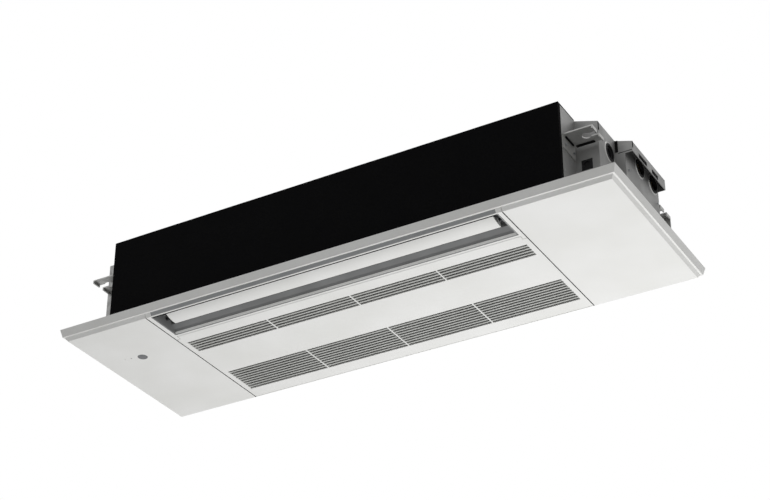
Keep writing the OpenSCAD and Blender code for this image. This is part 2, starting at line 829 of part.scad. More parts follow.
// Middle frame: front and rear rims, the bars beside the outlet and the rails above the grille
module centre_frame() {
    web_y = outlet_far_y + liner_t + lie_clear;
    color(ivory) {
        difference() {
            panel_shell(cover_x0, cover_x1);
            block([liner_x0 - lie_clear, liner_x1 + lie_clear], [-deck_half_y + skin, web_y],
                  [deck_z - cut, deck_in + cut]);
            block([cover_x0 - cut, cover_x1 + cut], [grille_y0 - joint_gap, grille_y1 + joint_gap],
                  [deck_z - cut, deck_in + cut]);
            along_x(outlet_x0, outlet_x1) strip_drawing(-strip_t, strip_t);
        }
        block([cover_x0, cover_x1], [web_y, web_y + skin], [deck_z, base_z]);
        for (x = [cover_x0, cover_x1 - ear_w]) {
            block([x, x + ear_w - ear_gap], [web_y, deck_half_y], [seat_z, seat_z + skin]);
            difference() {
                block([x, x + ear_w], [web_y, ear_y1], [deck_z, seat_z + skin]);
                rod_x(x - cut, x + ear_w + cut, barrel_y, barrel_z, hinge_pin_r + run_clear);
            }
        }
    }
}

// Dark strip in the front slope, above the air outlet
module outlet_strip() {
    color(foam) along_x(outlet_x0, outlet_x1) strip_drawing(0, strip_t);
}

// Dark duct between panel and body, with the rail that carries the louvre blades
module outlet_liner() {
    upright_x0 = outlet_x0 + lie_clear;
    upright_x1 = outlet_x1 - lie_clear;
    rail = [blade_axis_y - rail_half, blade_axis_y + rail_half];
    far_wall = [[outlet_far_y, deck_z], [bevel_y, bevel_z], [throat_y, throat_z], [throat_top_y, 0]];
    color(foam) difference() {
        union() {
            along_x(outlet_x0, outlet_x1)
                polygon(concat(far_wall, [for (i = [3:-1:0]) far_wall[i] + [liner_t, 0]]));
            block([liner_x0, liner_x1], [near_y, near_y + liner_t], [deck_in, 0]);
            block([liner_x0, liner_x1], [near_y, near_y + shelf_w], [-shelf_t, 0]);
            for (x = [liner_x0, outlet_x1]) along_x(x, x + liner_t)
                polygon([[near_y, deck_z], [outlet_far_y, deck_z], [bevel_y + liner_t, bevel_z],
                         [throat_top_y + liner_t, 0], [near_y, 0]]);
            for (x = [upright_x0, upright_x1 - liner_t])
                block([x, x + liner_t], rail, [-shelf_t, rail_z + rail_t]);
            block([liner_x0, upright_x0 + liner_t], rail, [-shelf_t, 0]);
            block([upright_x1 - liner_t, liner_x1], rail, [-shelf_t, 0]);
            block([upright_x0, upright_x1], rail, [rail_z, rail_z + rail_t]);
        }
        rod_x(liner_x0 - cut, outlet_x0 + cut, vane_axis_y, vane_axis_z, vane_pin_r + run_clear);
        rod_x(outlet_x1 - cut, liner_x1 + cut, vane_axis_y, vane_axis_z, vane_pin_r + run_clear);
        for (n = [1:2 * gang_blades])
            rod_z(blade_x(n), blade_axis_y, rail_z - cut, rail_z + rail_t + cut, blade_pin_r + run_clear);
    }
}

// Curved vane that swings about the pins in its end lugs
module vane() {
    centre_z = vane_low_z + vane_r;
    front_a = asin(vane_front / vane_r);
    rear_a = asin(vane_rear / vane_r);
    arc_steps = 16;
    angles = [for (i = [0:arc_steps]) -front_a + i * (front_a + rear_a) / arc_steps];
    function at(a, r) = [vane_low_y + r * sin(a), centre_z - r * cos(a)];
    color(ivory) difference() {
        union() {
            along_x(vane_x0, vane_x1) polygon(concat(
                [for (a = angles) at(a, vane_r)],
                [for (i = [arc_steps:-1:0]) at(angles[i], vane_r - vane_t)]));
            for (x = [vane_x0, vane_x1 - vane_lug_w]) {
                rod_x(x, x + vane_lug_w, vane_axis_y, vane_axis_z, vane_lug_r);
                block([x, x + vane_lug_w], [vane_axis_y - vane_lug_r, vane_axis_y + vane_lug_r],
                      [vane_low_z + vane_t - cut, vane_axis_z]);
            }
            rod_x(liner_x0, vane_x0 + cut, vane_axis_y, vane_axis_z, vane_pin_r);
            rod_x(vane_x1 - cut, liner_x1, vane_axis_y, vane_axis_z, vane_pin_r);
        }
        rod_x(vane_x1, liner_x1 + cut, vane_axis_y, vane_axis_z, swing_shaft_r + run_clear);
    }
}

// Stepper motor that swings the vane; its shaft enters the vane's right pin
module vane_motor() {
    color(steel) {
        rod_x(liner_x1, wall_x1 + skin, vane_axis_y, vane_axis_z, vane_lug_r);
        rod_x(wall_x1 + lie_clear, liner_x1 + swing_motor_len, vane_axis_y, vane_axis_z, swing_motor_r);
        rod_x(vane_x1 + cut, liner_x1 + cut, vane_axis_y, vane_axis_z, swing_shaft_r);
    }
}

// Upright blade number n, with its pivot pin and its crank pin
module louvre_blade(n) {
    x = blade_x(n);
    color(foam) {
        block([x - blade_t / 2, x + blade_t / 2], [blade_axis_y - blade_front, blade_axis_y + blade_rear],
              [blade_z0, blade_z1]);
        rod_z(x, blade_axis_y, blade_z1 - cut, rail_z, blade_washer_r);
        rod_z(x, blade_axis_y, rail_z - cut, rail_z + rail_t, blade_pin_r);
        rod_z(x, blade_axis_y - crank_len, blade_z1 - cut, link_z + link_t, crank_r);
    }
}

// Bar that joins the crank pins of the gang that starts with blade n
module louvre_link(n) {
    y = blade_axis_y - crank_len;
    color(foam) difference() {
        block([blade_x(n) - link_over, blade_x(n + gang_blades - 1) + link_over],
              [y - link_half, y + link_half], [link_z, link_z + link_t]);
        for (i = [0:gang_blades - 1])
            rod_z(blade_x(n + i), y, link_z - cut, link_z + link_t + cut, crank_r + run_clear);
    }
}

module hinge_pins(r) {
    rod_x(grille_x0, grille_x0 + ear_w + hinge_pin_in, barrel_y, barrel_z, r);
    rod_x(grille_x1 - ear_w - hinge_pin_in, grille_x1, barrel_y, barrel_z, r);
}

// Slots from x0 to x1 in the zone that starts at y; the slats stay behind the face
module slot_zone(y, n) {
    field_w = slots_len / slot_fields;
    for (f = [0:slot_fields - 1]) {
        x0 = slots_x0 + f * field_w + (f > 0 ? field_rib / 2 : 0);
        x1 = slots_x0 + (f + 1) * field_w - (f < slot_fields - 1 ? field_rib / 2 : 0);
        difference() {
            block([x0, x1], [y, y + (n - 1) * slot_pitch + slot_w], [deck_z - cut, deck_in + cut]);
            for (i = [1:n - 1]) translate([0, y + i * slot_pitch, 0])
                block([x0 - cut, x1 + cut], [slot_w - slot_pitch, 0],
                      [deck_z + slat_recess, deck_z + slat_recess + slat_t]);
        }
    }
}

// Hinged intake grille with two zones of slots
module intake_grille() {
    color(ivory) difference() {
        union() {
            block([grille_x0, grille_x1], [barrel_y, grille_y1], [deck_z, deck_in]);
            rod_x(grille_x0, grille_x1, barrel_y, barrel_z, barrel_r);
            for (x = [slots_x0 + seat_w, grille_mid - seat_w / 2, slots_x0 + slots_len - 2 * seat_w])
                block([x, x + seat_w], [filter_y0, filter_y1], [deck_in - cut, seat_z]);
            for (x = [-catch_x, catch_x])
                block([grille_mid + x - plunger_r, grille_mid + x + plunger_r],
                      [filter_y1 + seat_w * 2, grille_y1 - seat_w],
                      [deck_in - cut, base_z - catch_h - plunger_out - striker_gap]);
        }
        for (k = [0, 1]) slot_zone(zone_starts[k], slot_counts[k]);
        for (x = [grille_x0 - cut, grille_x1 - ear_w - ear_gap])
            block([x, x + ear_w + ear_gap + cut], [grille_y0 - cut, ear_y1 + ear_gap],
                  [deck_z - cut, barrel_z + barrel_r + cut]);
        hinge_pins(hinge_pin_r + run_clear);
    }
}

module grille_hinge_pins() {
    color(steel) hinge_pins(hinge_pin_r);
}

// Framed net between x0 and x1, resting on the grille's ribs
module air_filter(x0, x1) {
    color("slategray") {
        difference() {
            block([x0, x1], [filter_y0, filter_y1], [seat_z, seat_z + filter_h]);
            block([x0 + filter_bar, x1 - filter_bar], [filter_y0 + filter_bar, filter_y1 - filter_bar],
                  [seat_z - cut, seat_z + filter_h + cut]);
        }
        block([x0 + filter_bar / 2, x1 - filter_bar / 2],
              [filter_y0 + filter_bar / 2, filter_y1 - filter_bar / 2], [seat_z + net_t, seat_z + 2 * net_t]);
        for (i = [1:filter_fields - 1]) {
            x = x0 + i * (x1 - x0) / filter_fields;
            block([x - net_t, x + net_t], [filter_y0 + filter_bar / 2, filter_y1 - filter_bar / 2],
                  [seat_z, seat_z + filter_h]);
        }
    }
}

module filter_left() {
    air_filter(slots_x0 + filter_in, grille_mid - filter_gap / 2);
}

module filter_right() {
    air_filter(grille_mid + filter_gap / 2, slots_x0 + slots_len - filter_in);
}

// Two push catches for the grille's free edge
module catch_bodies() {
    mid_y = (catch_ys[0] + catch_ys[1]) / 2;
    color("gray") for (x = [-catch_x, catch_x]) difference() {
        block([grille_mid + x - catch_half, grille_mid + x + catch_half], catch_ys,
              [base_z - catch_h, base_z]);
        rod_z(grille_mid + x, mid_y, base_z - catch_h - cut, base_z - catch_wall, plunger_r + run_clear);
    }
}

module catch_plunger(x) {
    mid_y = (catch_ys[0] + catch_ys[1]) / 2;
    z = base_z - catch_h - plunger_out;
    color("black") rod_z(grille_mid + x, mid_y, z, z + plunger_len, plunger_r);
}

// Lens with a lip behind the cover: place, radius and the reach below the deck
module lens(x, y, r, out) {
    rod_z(x, y, deck_z - out, deck_in + lip_t, r);
    rod_z(x, y, deck_in, deck_in + lip_t, r + lens_lip);
}

module receiver_window() {
    color("gray") lens(window_x, window_y, window_r, 0);
}

module lamp_lens() {
    color("gray") lens(lamp_x, lamp_y, lamp_r, 0);
}

module manual_button() {
    color("gray") {
        lens(button_x, button_y, button_r, button_out);
        rod_z(button_x, button_y, deck_in, deck_in + button_in, button_r);
    }
}

// Circuit board of the receiver, on posts from the cover
module receiver_board() {
    mid_x = (window_x + button_x) / 2;
    z = deck_in + board_lift;
    color("green") {
        block([mid_x - board_half[0], mid_x + board_half[0]],
              [window_y - board_half[1], window_y + board_half[1]], [z, z + board_t]);
        for (x = [-1, 1] * (board_half[0] - post_r)) for (y = [-1, 1] * (board_half[1] - post_r))
            rod_z(mid_x + x, window_y + y, deck_in, z + cut, board_post_r);
    }
}

// Sheet-metal shell: front, top and rear in one bent piece
module casing() {
    color(steel) difference() {
        block([-body_half_x, body_half_x], [-body_half_y, body_half_y], [0, body_h]);
        block([-body_half_x - cut, body_half_x + cut], [-inner_y, inner_y], [-cut, inner_top]);
    }
}

// End sheet with a flange for the panel screws, at the end given by its sign
module end_plate(side) {
    x = side * body_half_x;
    in = x - side * sheet;
    foot = in - side * flange_w;
    color(steel) difference() {
        union() {
            block([min(x, in), max(x, in)], [-inner_y, inner_y], [0, inner_top]);
            block([min(in, foot), max(in, foot)], [-inner_y, inner_y], [0, sheet]);
        }
        panel_screw_places() cylinder(r = screw_r + run_clear, h = screw_len, center = true);
        sheet_screw_holes();
        children();
    }
}

module end_plate_left() {
    end_plate(-1) rod_x(-body_half_x - cut, -foot_in + cut, coil_mid[0], coil_mid[1], port_r);
}

module end_plate_right() {
    end_plate(1) {
        rod_x(foot_in - cut, body_half_x + cut, gas_at[0], gas_at[1], pipe_rs[0] + pass_clear);
        rod_x(foot_in - cut, body_half_x + cut, liquid_at[0], liquid_at[1], pipe_rs[1] + pass_clear);
        rod_x(foot_in - cut, body_half_x + cut, pump_y, drain_z, drain_r + pass_clear);
    }
}

// Thick black foam on the front, with a flap over the top
module front_insulation() {
    color("black") {
        block([-body_half_x, body_half_x], [-body_half_y - foam_t, -body_half_y], [0, body_h + flap_t]);
        block([-body_half_x, body_half_x], [-body_half_y - cut, flap_w - body_half_y],
              [body_h, body_h + flap_t]);
    }
}

// Four brackets that hook onto threaded rods
module hanger_brackets() {
    seat_x = hanger_x1 - seat_in;
    color(steel) difference() {
        hanger_places() difference() {
            union() {
                block([body_half_x, hanger_x1], [-hanger_w / 2, hanger_w / 2],
                      [hanger_z - hanger_t, hanger_z]);
                block([hanger_x1 - hanger_t, hanger_x1], [-hanger_w / 2, hanger_w / 2],
                      [hanger_z - hanger_lips[0], hanger_z]);
                block([body_half_x, body_half_x + hanger_t], [-hanger_w / 2, hanger_w / 2],
                      [hanger_z - hanger_lips[1], hanger_z]);
            }
            rod_z(seat_x, 0, hanger_z - hanger_lips[0] - cut, hanger_z + cut, seat_r);
            block([seat_x, hanger_x1 + cut], [-mouth_w / 2, mouth_w / 2],
                  [hanger_z - hanger_lips[0] - cut, hanger_z + cut]);
        }
        sheet_screw_holes();
    }
}

module hanger_places() {
    for (sx = [0, 1]) mirror([sx, 0, 0]) for (sy = [-1, 1]) translate([0, sy * hanger_y, 0]) children();
}

// Two screws for each bracket
module sheet_screw_places() {
    hanger_places() for (k = [-1, 1])
        translate([body_half_x + hanger_t, k * hanger_w / 3, hanger_z - hanger_lips[1] * 2 / 3]) children();
}

module sheet_screw_holes() {
    sheet_screw_places() rod_x(-sheet_screw_len - cut, cut, 0, 0, sheet_screw_r + run_clear);
}

// Box on the left end that holds the control board
module control_box() {
    color(steel) difference() {
        block([control_x1, -body_half_x], [-control_half, control_half], [box_lift, control_z1]);
        block([control_x1 - cut, -body_half_x - sheet], [sheet - control_half, control_half - sheet],
              [box_lift + sheet, control_z1 - sheet]);
        rod_x(-body_half_x - sheet - cut, -body_half_x + cut, coil_mid[0], coil_mid[1], port_r);
    }
}

module control_box_cover() {
    color(steel) block([control_x1 - sheet, control_x1], [-control_half, control_half],
                       [box_lift, control_z1]);
}

// Main board with a capacitor and a row of relays, on posts from the box's cover
module control_board() {
    x = board_x;
    color("green") {
        block([x, x + board_t], [-control_board_half[1], control_board_half[1]],
              [control_mid_z - control_board_half[0], control_mid_z + control_board_half[0]]);
        for (y = [-1, 1] * (control_board_half[1] - 2 * control_post_r))
            for (z = [-1, 1] * (control_board_half[0] - 2 * control_post_r))
                rod_x(control_x1, x + cut, y, control_mid_z + z, control_post_r);
        rod_x(x, x + capacitor[1], -control_board_half[1] / 2, control_mid_z, capacitor[0]);
        for (i = [0:2]) translate([0, i * relay[1] * 5 / 4, 0])
            block([x, x + relay[2]], [0, relay[1]],
                  [control_mid_z - relay[0] / 2, control_mid_z + relay[0] / 2]);
    }
}

function bay_top(x) = body_h - (x - body_half_x) * bay_fall;

// Section of the bay out to the reach x, moved in by t
module bay_section(x, t) {
    x0 = body_half_x - (t > 0 ? cut : 0);
    polygon([[x0, box_lift - (t > 0 ? cut : 0)], [x - t, box_lift - (t > 0 ? cut : 0)],
             [x - t, bay_top(x - t) - t], [x0, bay_top(x0) - t]]);
}

// Cover of the pipe end: two boxes under one sloping top, and a hood over the ports
module pipe_bay_cover() {
    hood_drawing = [[bay_b_x - sheet, bay_top(bay_b_x) - sheet], [hood_x, bay_top(hood_x) - sheet],
                    [hood_x, bay_top(hood_x)], [bay_b_x - sheet, bay_top(bay_b_x - sheet)]];
    side_drawing = [[bay_a_x - sheet, hood_z0], [hood_x, hood_z0], [hood_x, bay_top(hood_x)],
                    [bay_a_x - sheet, bay_top(bay_a_x - sheet)]];
    color(steel) difference() {
        union() {
            difference() {
                union() {
                    along_y(bay_y0, bay_y1 + sheet) bay_section(bay_a_x, 0);
                    along_y(bay_y1, bay_y2) bay_section(bay_b_x, 0);
                }
                along_y(bay_y0 + sheet, bay_y1 + 2 * sheet) bay_section(bay_a_x, sheet);
                along_y(bay_y1 + sheet, bay_y2 - sheet) bay_section(bay_b_x, sheet);
            }
            along_y(bay_y1, bay_y2) polygon(hood_drawing);
            along_y(bay_y1, bay_y1 + sheet) polygon(side_drawing);
            along_y(bay_y2 - sheet, bay_y2) polygon(side_drawing);
            block([hood_x - sheet, hood_x], [bay_y1, bay_y2], [hood_z0, bay_top(hood_x)]);
        }
        for (i = [0, 1]) block([hood_x - 2 * sheet, hood_x + cut],
            [for (k = [-1, 1]) bay_y1 + (hood_slot_shares[i] + k * hood_len_shares[i] / 2) * bay_b_d],
            [hood_z0 + hood_strip, hood_z0 + hood_strip + hood_slot_h]);
        port_places() rod_x(-2 * sheet, cut, 0, 0, port_r + grommet_ring - groove_d);
        block([cable_x0, cable_x0 + cable_w], [bay_y0 - cut, bay_y0 + 2 * sheet],
              [cable_z0, cable_z0 + cable_w]);
    }
}

module port_places() {
    translate([bay_a_x, pump_y, drain_z]) children();
    translate([bay_b_x, gas_at[0], gas_at[1]]) children();
    translate([bay_b_x, liquid_at[0], liquid_at[1]]) children();
}

// Rubber rings in the three ports and a plug with a hole in the cable window
module port_grommets() {
    mid = cable_w / 2;
    color("black") {
        port_places() difference() {
            rod_x(-sheet / 2 - grommet_t / 2, grommet_t / 2 - sheet / 2, 0, 0, port_r + grommet_ring);
            rod_x(-grommet_t, grommet_t, 0, 0, port_r - groove_d);
            difference() {
                rod_x(-sheet, 0, 0, 0, port_r + 2 * grommet_ring);
                rod_x(-sheet, 0, 0, 0, port_r + grommet_ring - groove_d - run_clear);
            }
        }
        translate([cable_x0 + mid, bay_y0, cable_z0 + mid]) difference() {
            block([-mid + run_clear, mid - run_clear], [-groove_d, grommet_t],
                  [-mid + run_clear, mid - run_clear]);
            rotate([90, 0, 0]) cylinder(r = cable_r, h = 3 * grommet_t, center = true);
        }
    }
}

module terminal_block() {
    pitch = terminal[1] / terminals;
    y0 = bay_y0 + terminal_in;
    z0 = cable_z0 - terminal_in;
    color("ivory") difference() {
        block([body_half_x, body_half_x + terminal[0]], [y0, y0 + terminal[1]], [z0, z0 + terminal[2]]);
        for (i = [1:terminals - 1])
            block([body_half_x + terminal[0] / 2, body_half_x + terminal[0] + cut],
                  [y0 + i * pitch - sheet, y0 + i * pitch + sheet], [z0 - cut, z0 + terminal[2] + cut]);
    }
}

// Drum wheel: slanted blades between discs, with a hub at each end
module fan_wheel() {
    pitch = (wheel_x1 - wheel_x0 - disc_t) / fan_sections;
    translate([0, fan_y, fan_z]) color("dimgray") difference() {
        union() {
            along_x(wheel_x0, wheel_x1) for (i = [0:fan_blades - 1]) rotate(i * 360 / fan_blades)
                polygon([[fan_r - fan_ring, 0], [fan_r - disc_t / 4, fan_blade_lean],
                         [fan_r - disc_t / 4, fan_blade_lean + fan_blade_t],
                         [fan_r - fan_ring, fan_blade_t]]);
            for (i = [0:fan_sections]) difference() {
                rod_x(wheel_x0 + i * pitch, wheel_x0 + i * pitch + disc_t, 0, 0, fan_r);
                if (i > 0 && i < fan_sections)
                    rod_x(wheel_x0 + i * pitch - cut, wheel_x0 + i * pitch + disc_t + cut, 0, 0,
                          fan_r - fan_ring - fan_blade_t);
            }
            rod_x(wheel_x0, wheel_x0 + hub_len, 0, 0, hub_r);
            rod_x(wheel_x1 - hub_len, wheel_x1, 0, 0, hub_r);
        }
        rod_x(wheel_x0 - cut, wheel_x0 + hub_len + cut, 0, 0, shaft_r + run_clear);
        rod_x(wheel_x1 - hub_len - cut, wheel_x1 + cut, 0, 0, shaft_r + run_clear);
    }
}

// Motor shaft on the left and bearing shaft on the right
module fan_shafts() {
    color(steel) {
        rod_x(motor_x0 + motor_len / 4, wheel_x0 + hub_len, fan_y, fan_z, shaft_r);
        rod_x(wheel_x1 - hub_len, wall_x1 + holder_t, fan_y, fan_z, shaft_r);
    }
}

module fan_motor() {
    color("dimgray") difference() {
        union() {
            rod_x(motor_x0, motor_x1, fan_y, fan_z, motor_r);
            rod_x(motor_x0 - disc_t, motor_x0 + cut, fan_y, fan_z, motor_r * 3 / 4);
        }
        rod_x(motor_x0 + motor_len / 5, motor_x1 + cut, fan_y, fan_z, shaft_r + run_clear);
    }
}

// Flange and three posts that hold the motor to the chamber's left wall
module motor_bracket() {
    posts = 3;
    color(steel) translate([0, fan_y, fan_z]) {
        difference() {
            rod_x(motor_x1, motor_x1 + motor_flange_t, 0, 0, motor_flange_r);
            rod_x(motor_x1 - cut, motor_x1 + motor_flange_t + cut, 0, 0, bearing_r);
        }
        for (i = [0:posts - 1]) rotate([i * 360 / posts, 0, 0])
            rod_x(motor_x1 + cut, wall_x0, 0, motor_r, shaft_r);
    }
}

module fan_bearing() {
    color(steel) difference() {
        rod_x(wall_x1, wall_x1 + bearing_t, fan_y, fan_z, bearing_r);
        rod_x(wall_x1 - cut, wall_x1 + bearing_t + cut, fan_y, fan_z, shaft_r + run_clear);
    }
}

module bearing_holder() {
    color("black") difference() {
        rod_x(wall_x1, wall_x1 + holder_t, fan_y, fan_z, holder_r);
        rod_x(wall_x1 - cut, wall_x1 + bearing_t, fan_y, fan_z, bearing_r + run_clear);
        rod_x(wall_x1 - cut, wall_x1 + holder_t + cut, fan_y, fan_z, shaft_r + pass_clear);
    }
}

// A point of the coil, along its lean and square to it
function on_coil(s, n) = coil_mid
    + [s * cos(coil_lean) - n * sin(coil_lean), s * sin(coil_lean) + n * cos(coil_lean)];

// Moulded chamber round the fan: the scroll over the wheel and the two end walls
module scroll_casing() {
    curve = [for (i = [0:scroll_steps]) let (
        a = scroll_angles[0] + i * (scroll_angles[1] - scroll_angles[0]) / scroll_steps,
        r = fan_r + scroll_gap + i * (fan_in - scroll_front - fan_r - scroll_gap) / scroll_steps)
        [fan_y + r * cos(a), fan_z + r * sin(a)]];
    low = on_coil(-coil_w / 2, coil_t / 2) - [pass_clear, 0];
    high = on_coil(coil_w / 2, coil_t / 2) - [pass_clear, 0];
    color(foam) difference() {
        union() {
            along_x(wall_x0, wall_x1) polygon(concat(
                [[-inner_y, 0], [-inner_y, inner_top], [curve[0][0], inner_top]], curve,
                [[scroll_foot - inner_y, 0]]));
            for (x = [wall_x0, outlet_x1]) along_x(x, x + wall_t) polygon([
                [-inner_y, 0], [-inner_y, inner_top], [high[0], inner_top], high, low, [low[0], pan_z1],
                [tongue_y - tongue_foot, pan_z1], [throat_top_y + tongue_foot, 0]]);
        }
        rod_x(wall_x0 - cut, outlet_x0 + cut, fan_y, fan_z, bearing_r);
        rod_x(outlet_x1 - cut, wall_x1 + cut, fan_y, fan_z, bearing_r - disc_t);
    }
}

// Tongue between the outlet duct and the intake
module stabilizer() {
    color(foam) along_x(outlet_x0, outlet_x1) polygon([
        [throat_top_y, 0], [tongue_y - tongue_front, tongue_z - scroll_foot], [tongue_y, tongue_z],
        [tongue_y + scroll_foot, tongue_z - scroll_foot], [tongue_y - tongue_foot, pan_z1],
        [throat_top_y + tongue_foot, 0]]);
}

// Places of the coil's tubes
function tube_at(i, row) = on_coil((i - (coil_tubes_n - 1) / 2) * tube_pitch, row * row_pitch / 2);

module tube_holes(x0, x1) {
    for (i = [0:coil_tubes_n - 1]) for (row = [-1, 1])
        rod_x(x0, x1, tube_at(i, row)[0], tube_at(i, row)[1], tube_r + lie_clear);
}

module coil_block(x0, x1, lap) {
    along_x(x0, x1) polygon([on_coil(-coil_w / 2, -coil_t / 2), on_coil(coil_w / 2, -coil_t / 2),
        on_coil(coil_w / 2, coil_t / 2 + lap), on_coil(-coil_w / 2, coil_t / 2 + lap)]);
}

module coil_fins() {
    color(steel) difference() {
        coil_block(wall_x0, wall_x1, -lie_clear);
        tube_holes(wall_x0 - cut, wall_x1 + cut);
    }
}

module coil_plates() {
    color(steel) for (x = [coil_x0, wall_x1]) difference() {
        coil_block(x, x + sheet, plate_lap);
        tube_holes(x - cut, x + sheet + cut);
        block([x - cut, x + sheet + cut], [0, inner_y], [inner_top, body_h + plate_lap]);
    }
}

// A return bend beyond the end x, between the tubes at a and b
module return_bend(x, out, a, b) {
    in = x - sign(out) * cut;
    pipe_run([[in, a[0], a[1]], [x + out, a[0], a[1]], [x + out, b[0], b[1]], [in, b[0], b[1]]], tube_r);
}

// Two rows of tubes joined by return bends
module coil_tubes() {
    x0 = coil_x0 - tube_out;
    x1 = coil_x1 + tube_out;
    color("peru") {
        for (row = [-1, 1]) {
            for (i = [0:coil_tubes_n - 1]) rod_x(x0, x1, tube_at(i, row)[0], tube_at(i, row)[1], tube_r);
            for (i = [0:2:coil_tubes_n - 2])
                return_bend(x0, -tube_out, tube_at(i, row), tube_at(i + 1, row));
            for (i = [1:2:coil_tubes_n - 3])
                return_bend(x1, tube_out, tube_at(i, row), tube_at(i + 1, row));
        }
        return_bend(x1, tube_out, tube_at(0, -1), tube_at(0, 1));
    }
}

// Pipe from the coil's last tube of a row to its port
module coil_pipe(row, at, r) {
    start = tube_at(coil_tubes_n - 1, row);
    color("peru") difference() {
        pipe_run([[coil_x1 + tube_out, start[0], start[1]], [pipe_turn_x, start[0], start[1]],
                  [pipe_turn_x, at[0], at[1]], [nut_x0 + union_nut, at[0], at[1]]], r);
        rod_x(body_half_x, bay_b_x, at[0], at[1], r / 2);
    }
}

module gas_pipe() {
    coil_pipe(1, gas_at, pipe_rs[0]);
}

module liquid_pipe() {
    coil_pipe(-1, liquid_at, pipe_rs[1]);
}

// Brass unions with a nut and the thread that the flare nut is screwed to
module flare_unions() {
    ends = [gas_at, liquid_at];
    color("goldenrod") for (i = [0, 1]) translate([0, ends[i][0], ends[i][1]]) difference() {
        union() {
            translate([nut_x0, 0, 0]) rotate([0, 90, 0])
                cylinder(r = union_hex_rs[i], h = union_nut, $fn = 6);
            rod_x(nut_x0 + union_nut - cut, union_x1, 0, 0, union_rs[i]);
        }
        rod_x(nut_x0 - cut, nut_x0 + union_nut, 0, 0, pipe_rs[i] + run_clear);
        rod_x(nut_x0 - cut, union_x1 + cut, 0, 0, pipe_rs[i] / 2);
    }
}

// Moulded trough below the coil's lower edge, from end to end of the body
module drain_pan() {
    color("gainsboro") difference() {
        block([-foot_in, foot_in], [pan_y0, pan_y1], [pan_z0, pan_z1]);
        block([pan_wall - foot_in, foot_in - pan_wall], [pan_y0 + pan_wall, pan_y1 - pan_wall],
              [pan_floor, pan_z1 + cut]);
    }
}

// Pump with its suction opening down in the trough, and a bracket to the right end sheet
module drain_pump() {
    split_z = pump_z0 + pump_h;
    color("dimgray") difference() {
        union() {
            rod_z(pump_x, pump_y, pump_z0, split_z + cut, pump_r);
            rod_z(pump_x, pump_y, split_z, pump_top, pump_motor_r);
            block([pump_x, foot_in], [pump_y + drain_r + drain_wall, pump_y + pump_motor_r + pump_wall],
                  [split_z, split_z + pump_wall]);
            rod_x(pump_x, pump_x + pump_r + pump_wall, pump_y, drain_low_z, drain_r);
        }
        rod_z(pump_x, pump_y, pump_z0 - cut, split_z - pump_wall, pump_r - pump_wall);
        rod_z(pump_x, pump_y, split_z - 2 * pump_wall, split_z + pump_h / 4, impeller_shaft_r + run_clear);
        rod_x(pump_x, pump_x + pump_r + pump_wall + cut, pump_y, drain_low_z, drain_r - drain_wall);
    }
}

// Four-bladed impeller on the pump's shaft
module pump_impeller() {
    z = pump_z0 + pump_wall;
    blades = 4;
    color(ivory) {
        for (i = [0:blades - 1]) translate([pump_x, pump_y, 0]) rotate(i * 360 / blades)
            block([0, impeller_r], [-impeller_t / 2, impeller_t / 2], [z, z + impeller_h]);
        rod_z(pump_x, pump_y, z, pump_z0 + pump_h + pump_wall, impeller_shaft_r);
    }
}

// Tube from the pump over the rise to the socket at the drain port
module drain_tube() {
    x0 = pump_x + pump_r + pump_wall;
    socket_x = bay_a_x - sheet - run_clear;
    rise_x = body_half_x - drain_rise_in;
    points = [[x0, pump_y, drain_low_z], [rise_x, pump_y, drain_low_z],
              [rise_x, pump_y, drain_z], [socket_x - socket_len + cut, pump_y, drain_z]];
    color("gainsboro") difference() {
        union() {
            pipe_run(points, drain_r);
            rod_x(socket_x - socket_len, socket_x, pump_y, drain_z, socket_r);
        }
        pipe_run(concat([points[0] - [cut, 0, 0]], [points[1], points[2]],
            [[socket_x - socket_bore, pump_y, drain_z]]), drain_r - drain_wall);
        rod_x(socket_x - socket_bore, socket_x + cut, pump_y, drain_z, drain_r);
    }
}

module float_stem() {
    color("gray") {
        rod_z(float_at[0], float_at[1], pan_floor, pan_floor + float_stem_h, float_stem_r);
        rod_z(float_at[0], float_at[1], pan_floor, pan_floor + float_rest, float_r / 2);
    }
}

module float_ring() {
    z = pan_floor + float_rest;
    color(ivory) difference() {
        rod_z(float_at[0], float_at[1], z, z + float_h, float_r);
        rod_z(float_at[0], float_at[1], z - cut, z + float_h + cut, float_stem_r + run_clear);
    }
}

// A screw that points up, with its head below
module screw(len) {
    rod_z(0, 0, -screw_head_h, 0, screw_head_r);
    rod_z(0, 0, -cut, len, screw_r);
}

// Four screws from the base plate into the body's end flanges
module panel_screws() {
    color(steel) panel_screw_places() screw(screw_len);
}

// Screws with flat heads that hold the hanger brackets
module sheet_screws() {
    color(steel) sheet_screw_places() {
        rotate([0, 90, 0]) cylinder(r = screw_head_r, h = screw_head_h);
        rod_x(-sheet_screw_len, cut, 0, 0, sheet_screw_r);
    }
}

panel_base();
side_cover_left();
side_cover_right();
centre_frame();
outlet_strip();
outlet_liner();
vane();
vane_motor();
louvre_blade(1);  // louvre_blade_1
louvre_blade(2);  // louvre_blade_2
louvre_blade(3);  // louvre_blade_3
louvre_blade(4);  // louvre_blade_4
louvre_blade(5);  // louvre_blade_5
louvre_blade(6);  // louvre_blade_6
louvre_link(1);  // louvre_link_left
louvre_link(1 + gang_blades);  // louvre_link_right
intake_grille();
grille_hinge_pins();
filter_left();
filter_right();
catch_bodies();
catch_plunger(-catch_x);  // catch_plunger_left
catch_plunger(catch_x);  // catch_plunger_right
receiver_window();
lamp_lens();
manual_button();
receiver_board();
casing();
end_plate_left();
end_plate_right();
front_insulation();
hanger_brackets();
control_box();
control_box_cover();
control_board();
pipe_bay_cover();
port_grommets();
terminal_block();
fan_wheel();
fan_shafts();
fan_motor();
motor_bracket();
fan_bearing();
bearing_holder();
scroll_casing();
stabilizer();
coil_fins();
coil_tubes();
coil_plates();
gas_pipe();
liquid_pipe();
flare_unions();
drain_pan();
drain_pump();
pump_impeller();
drain_tube();
float_stem();
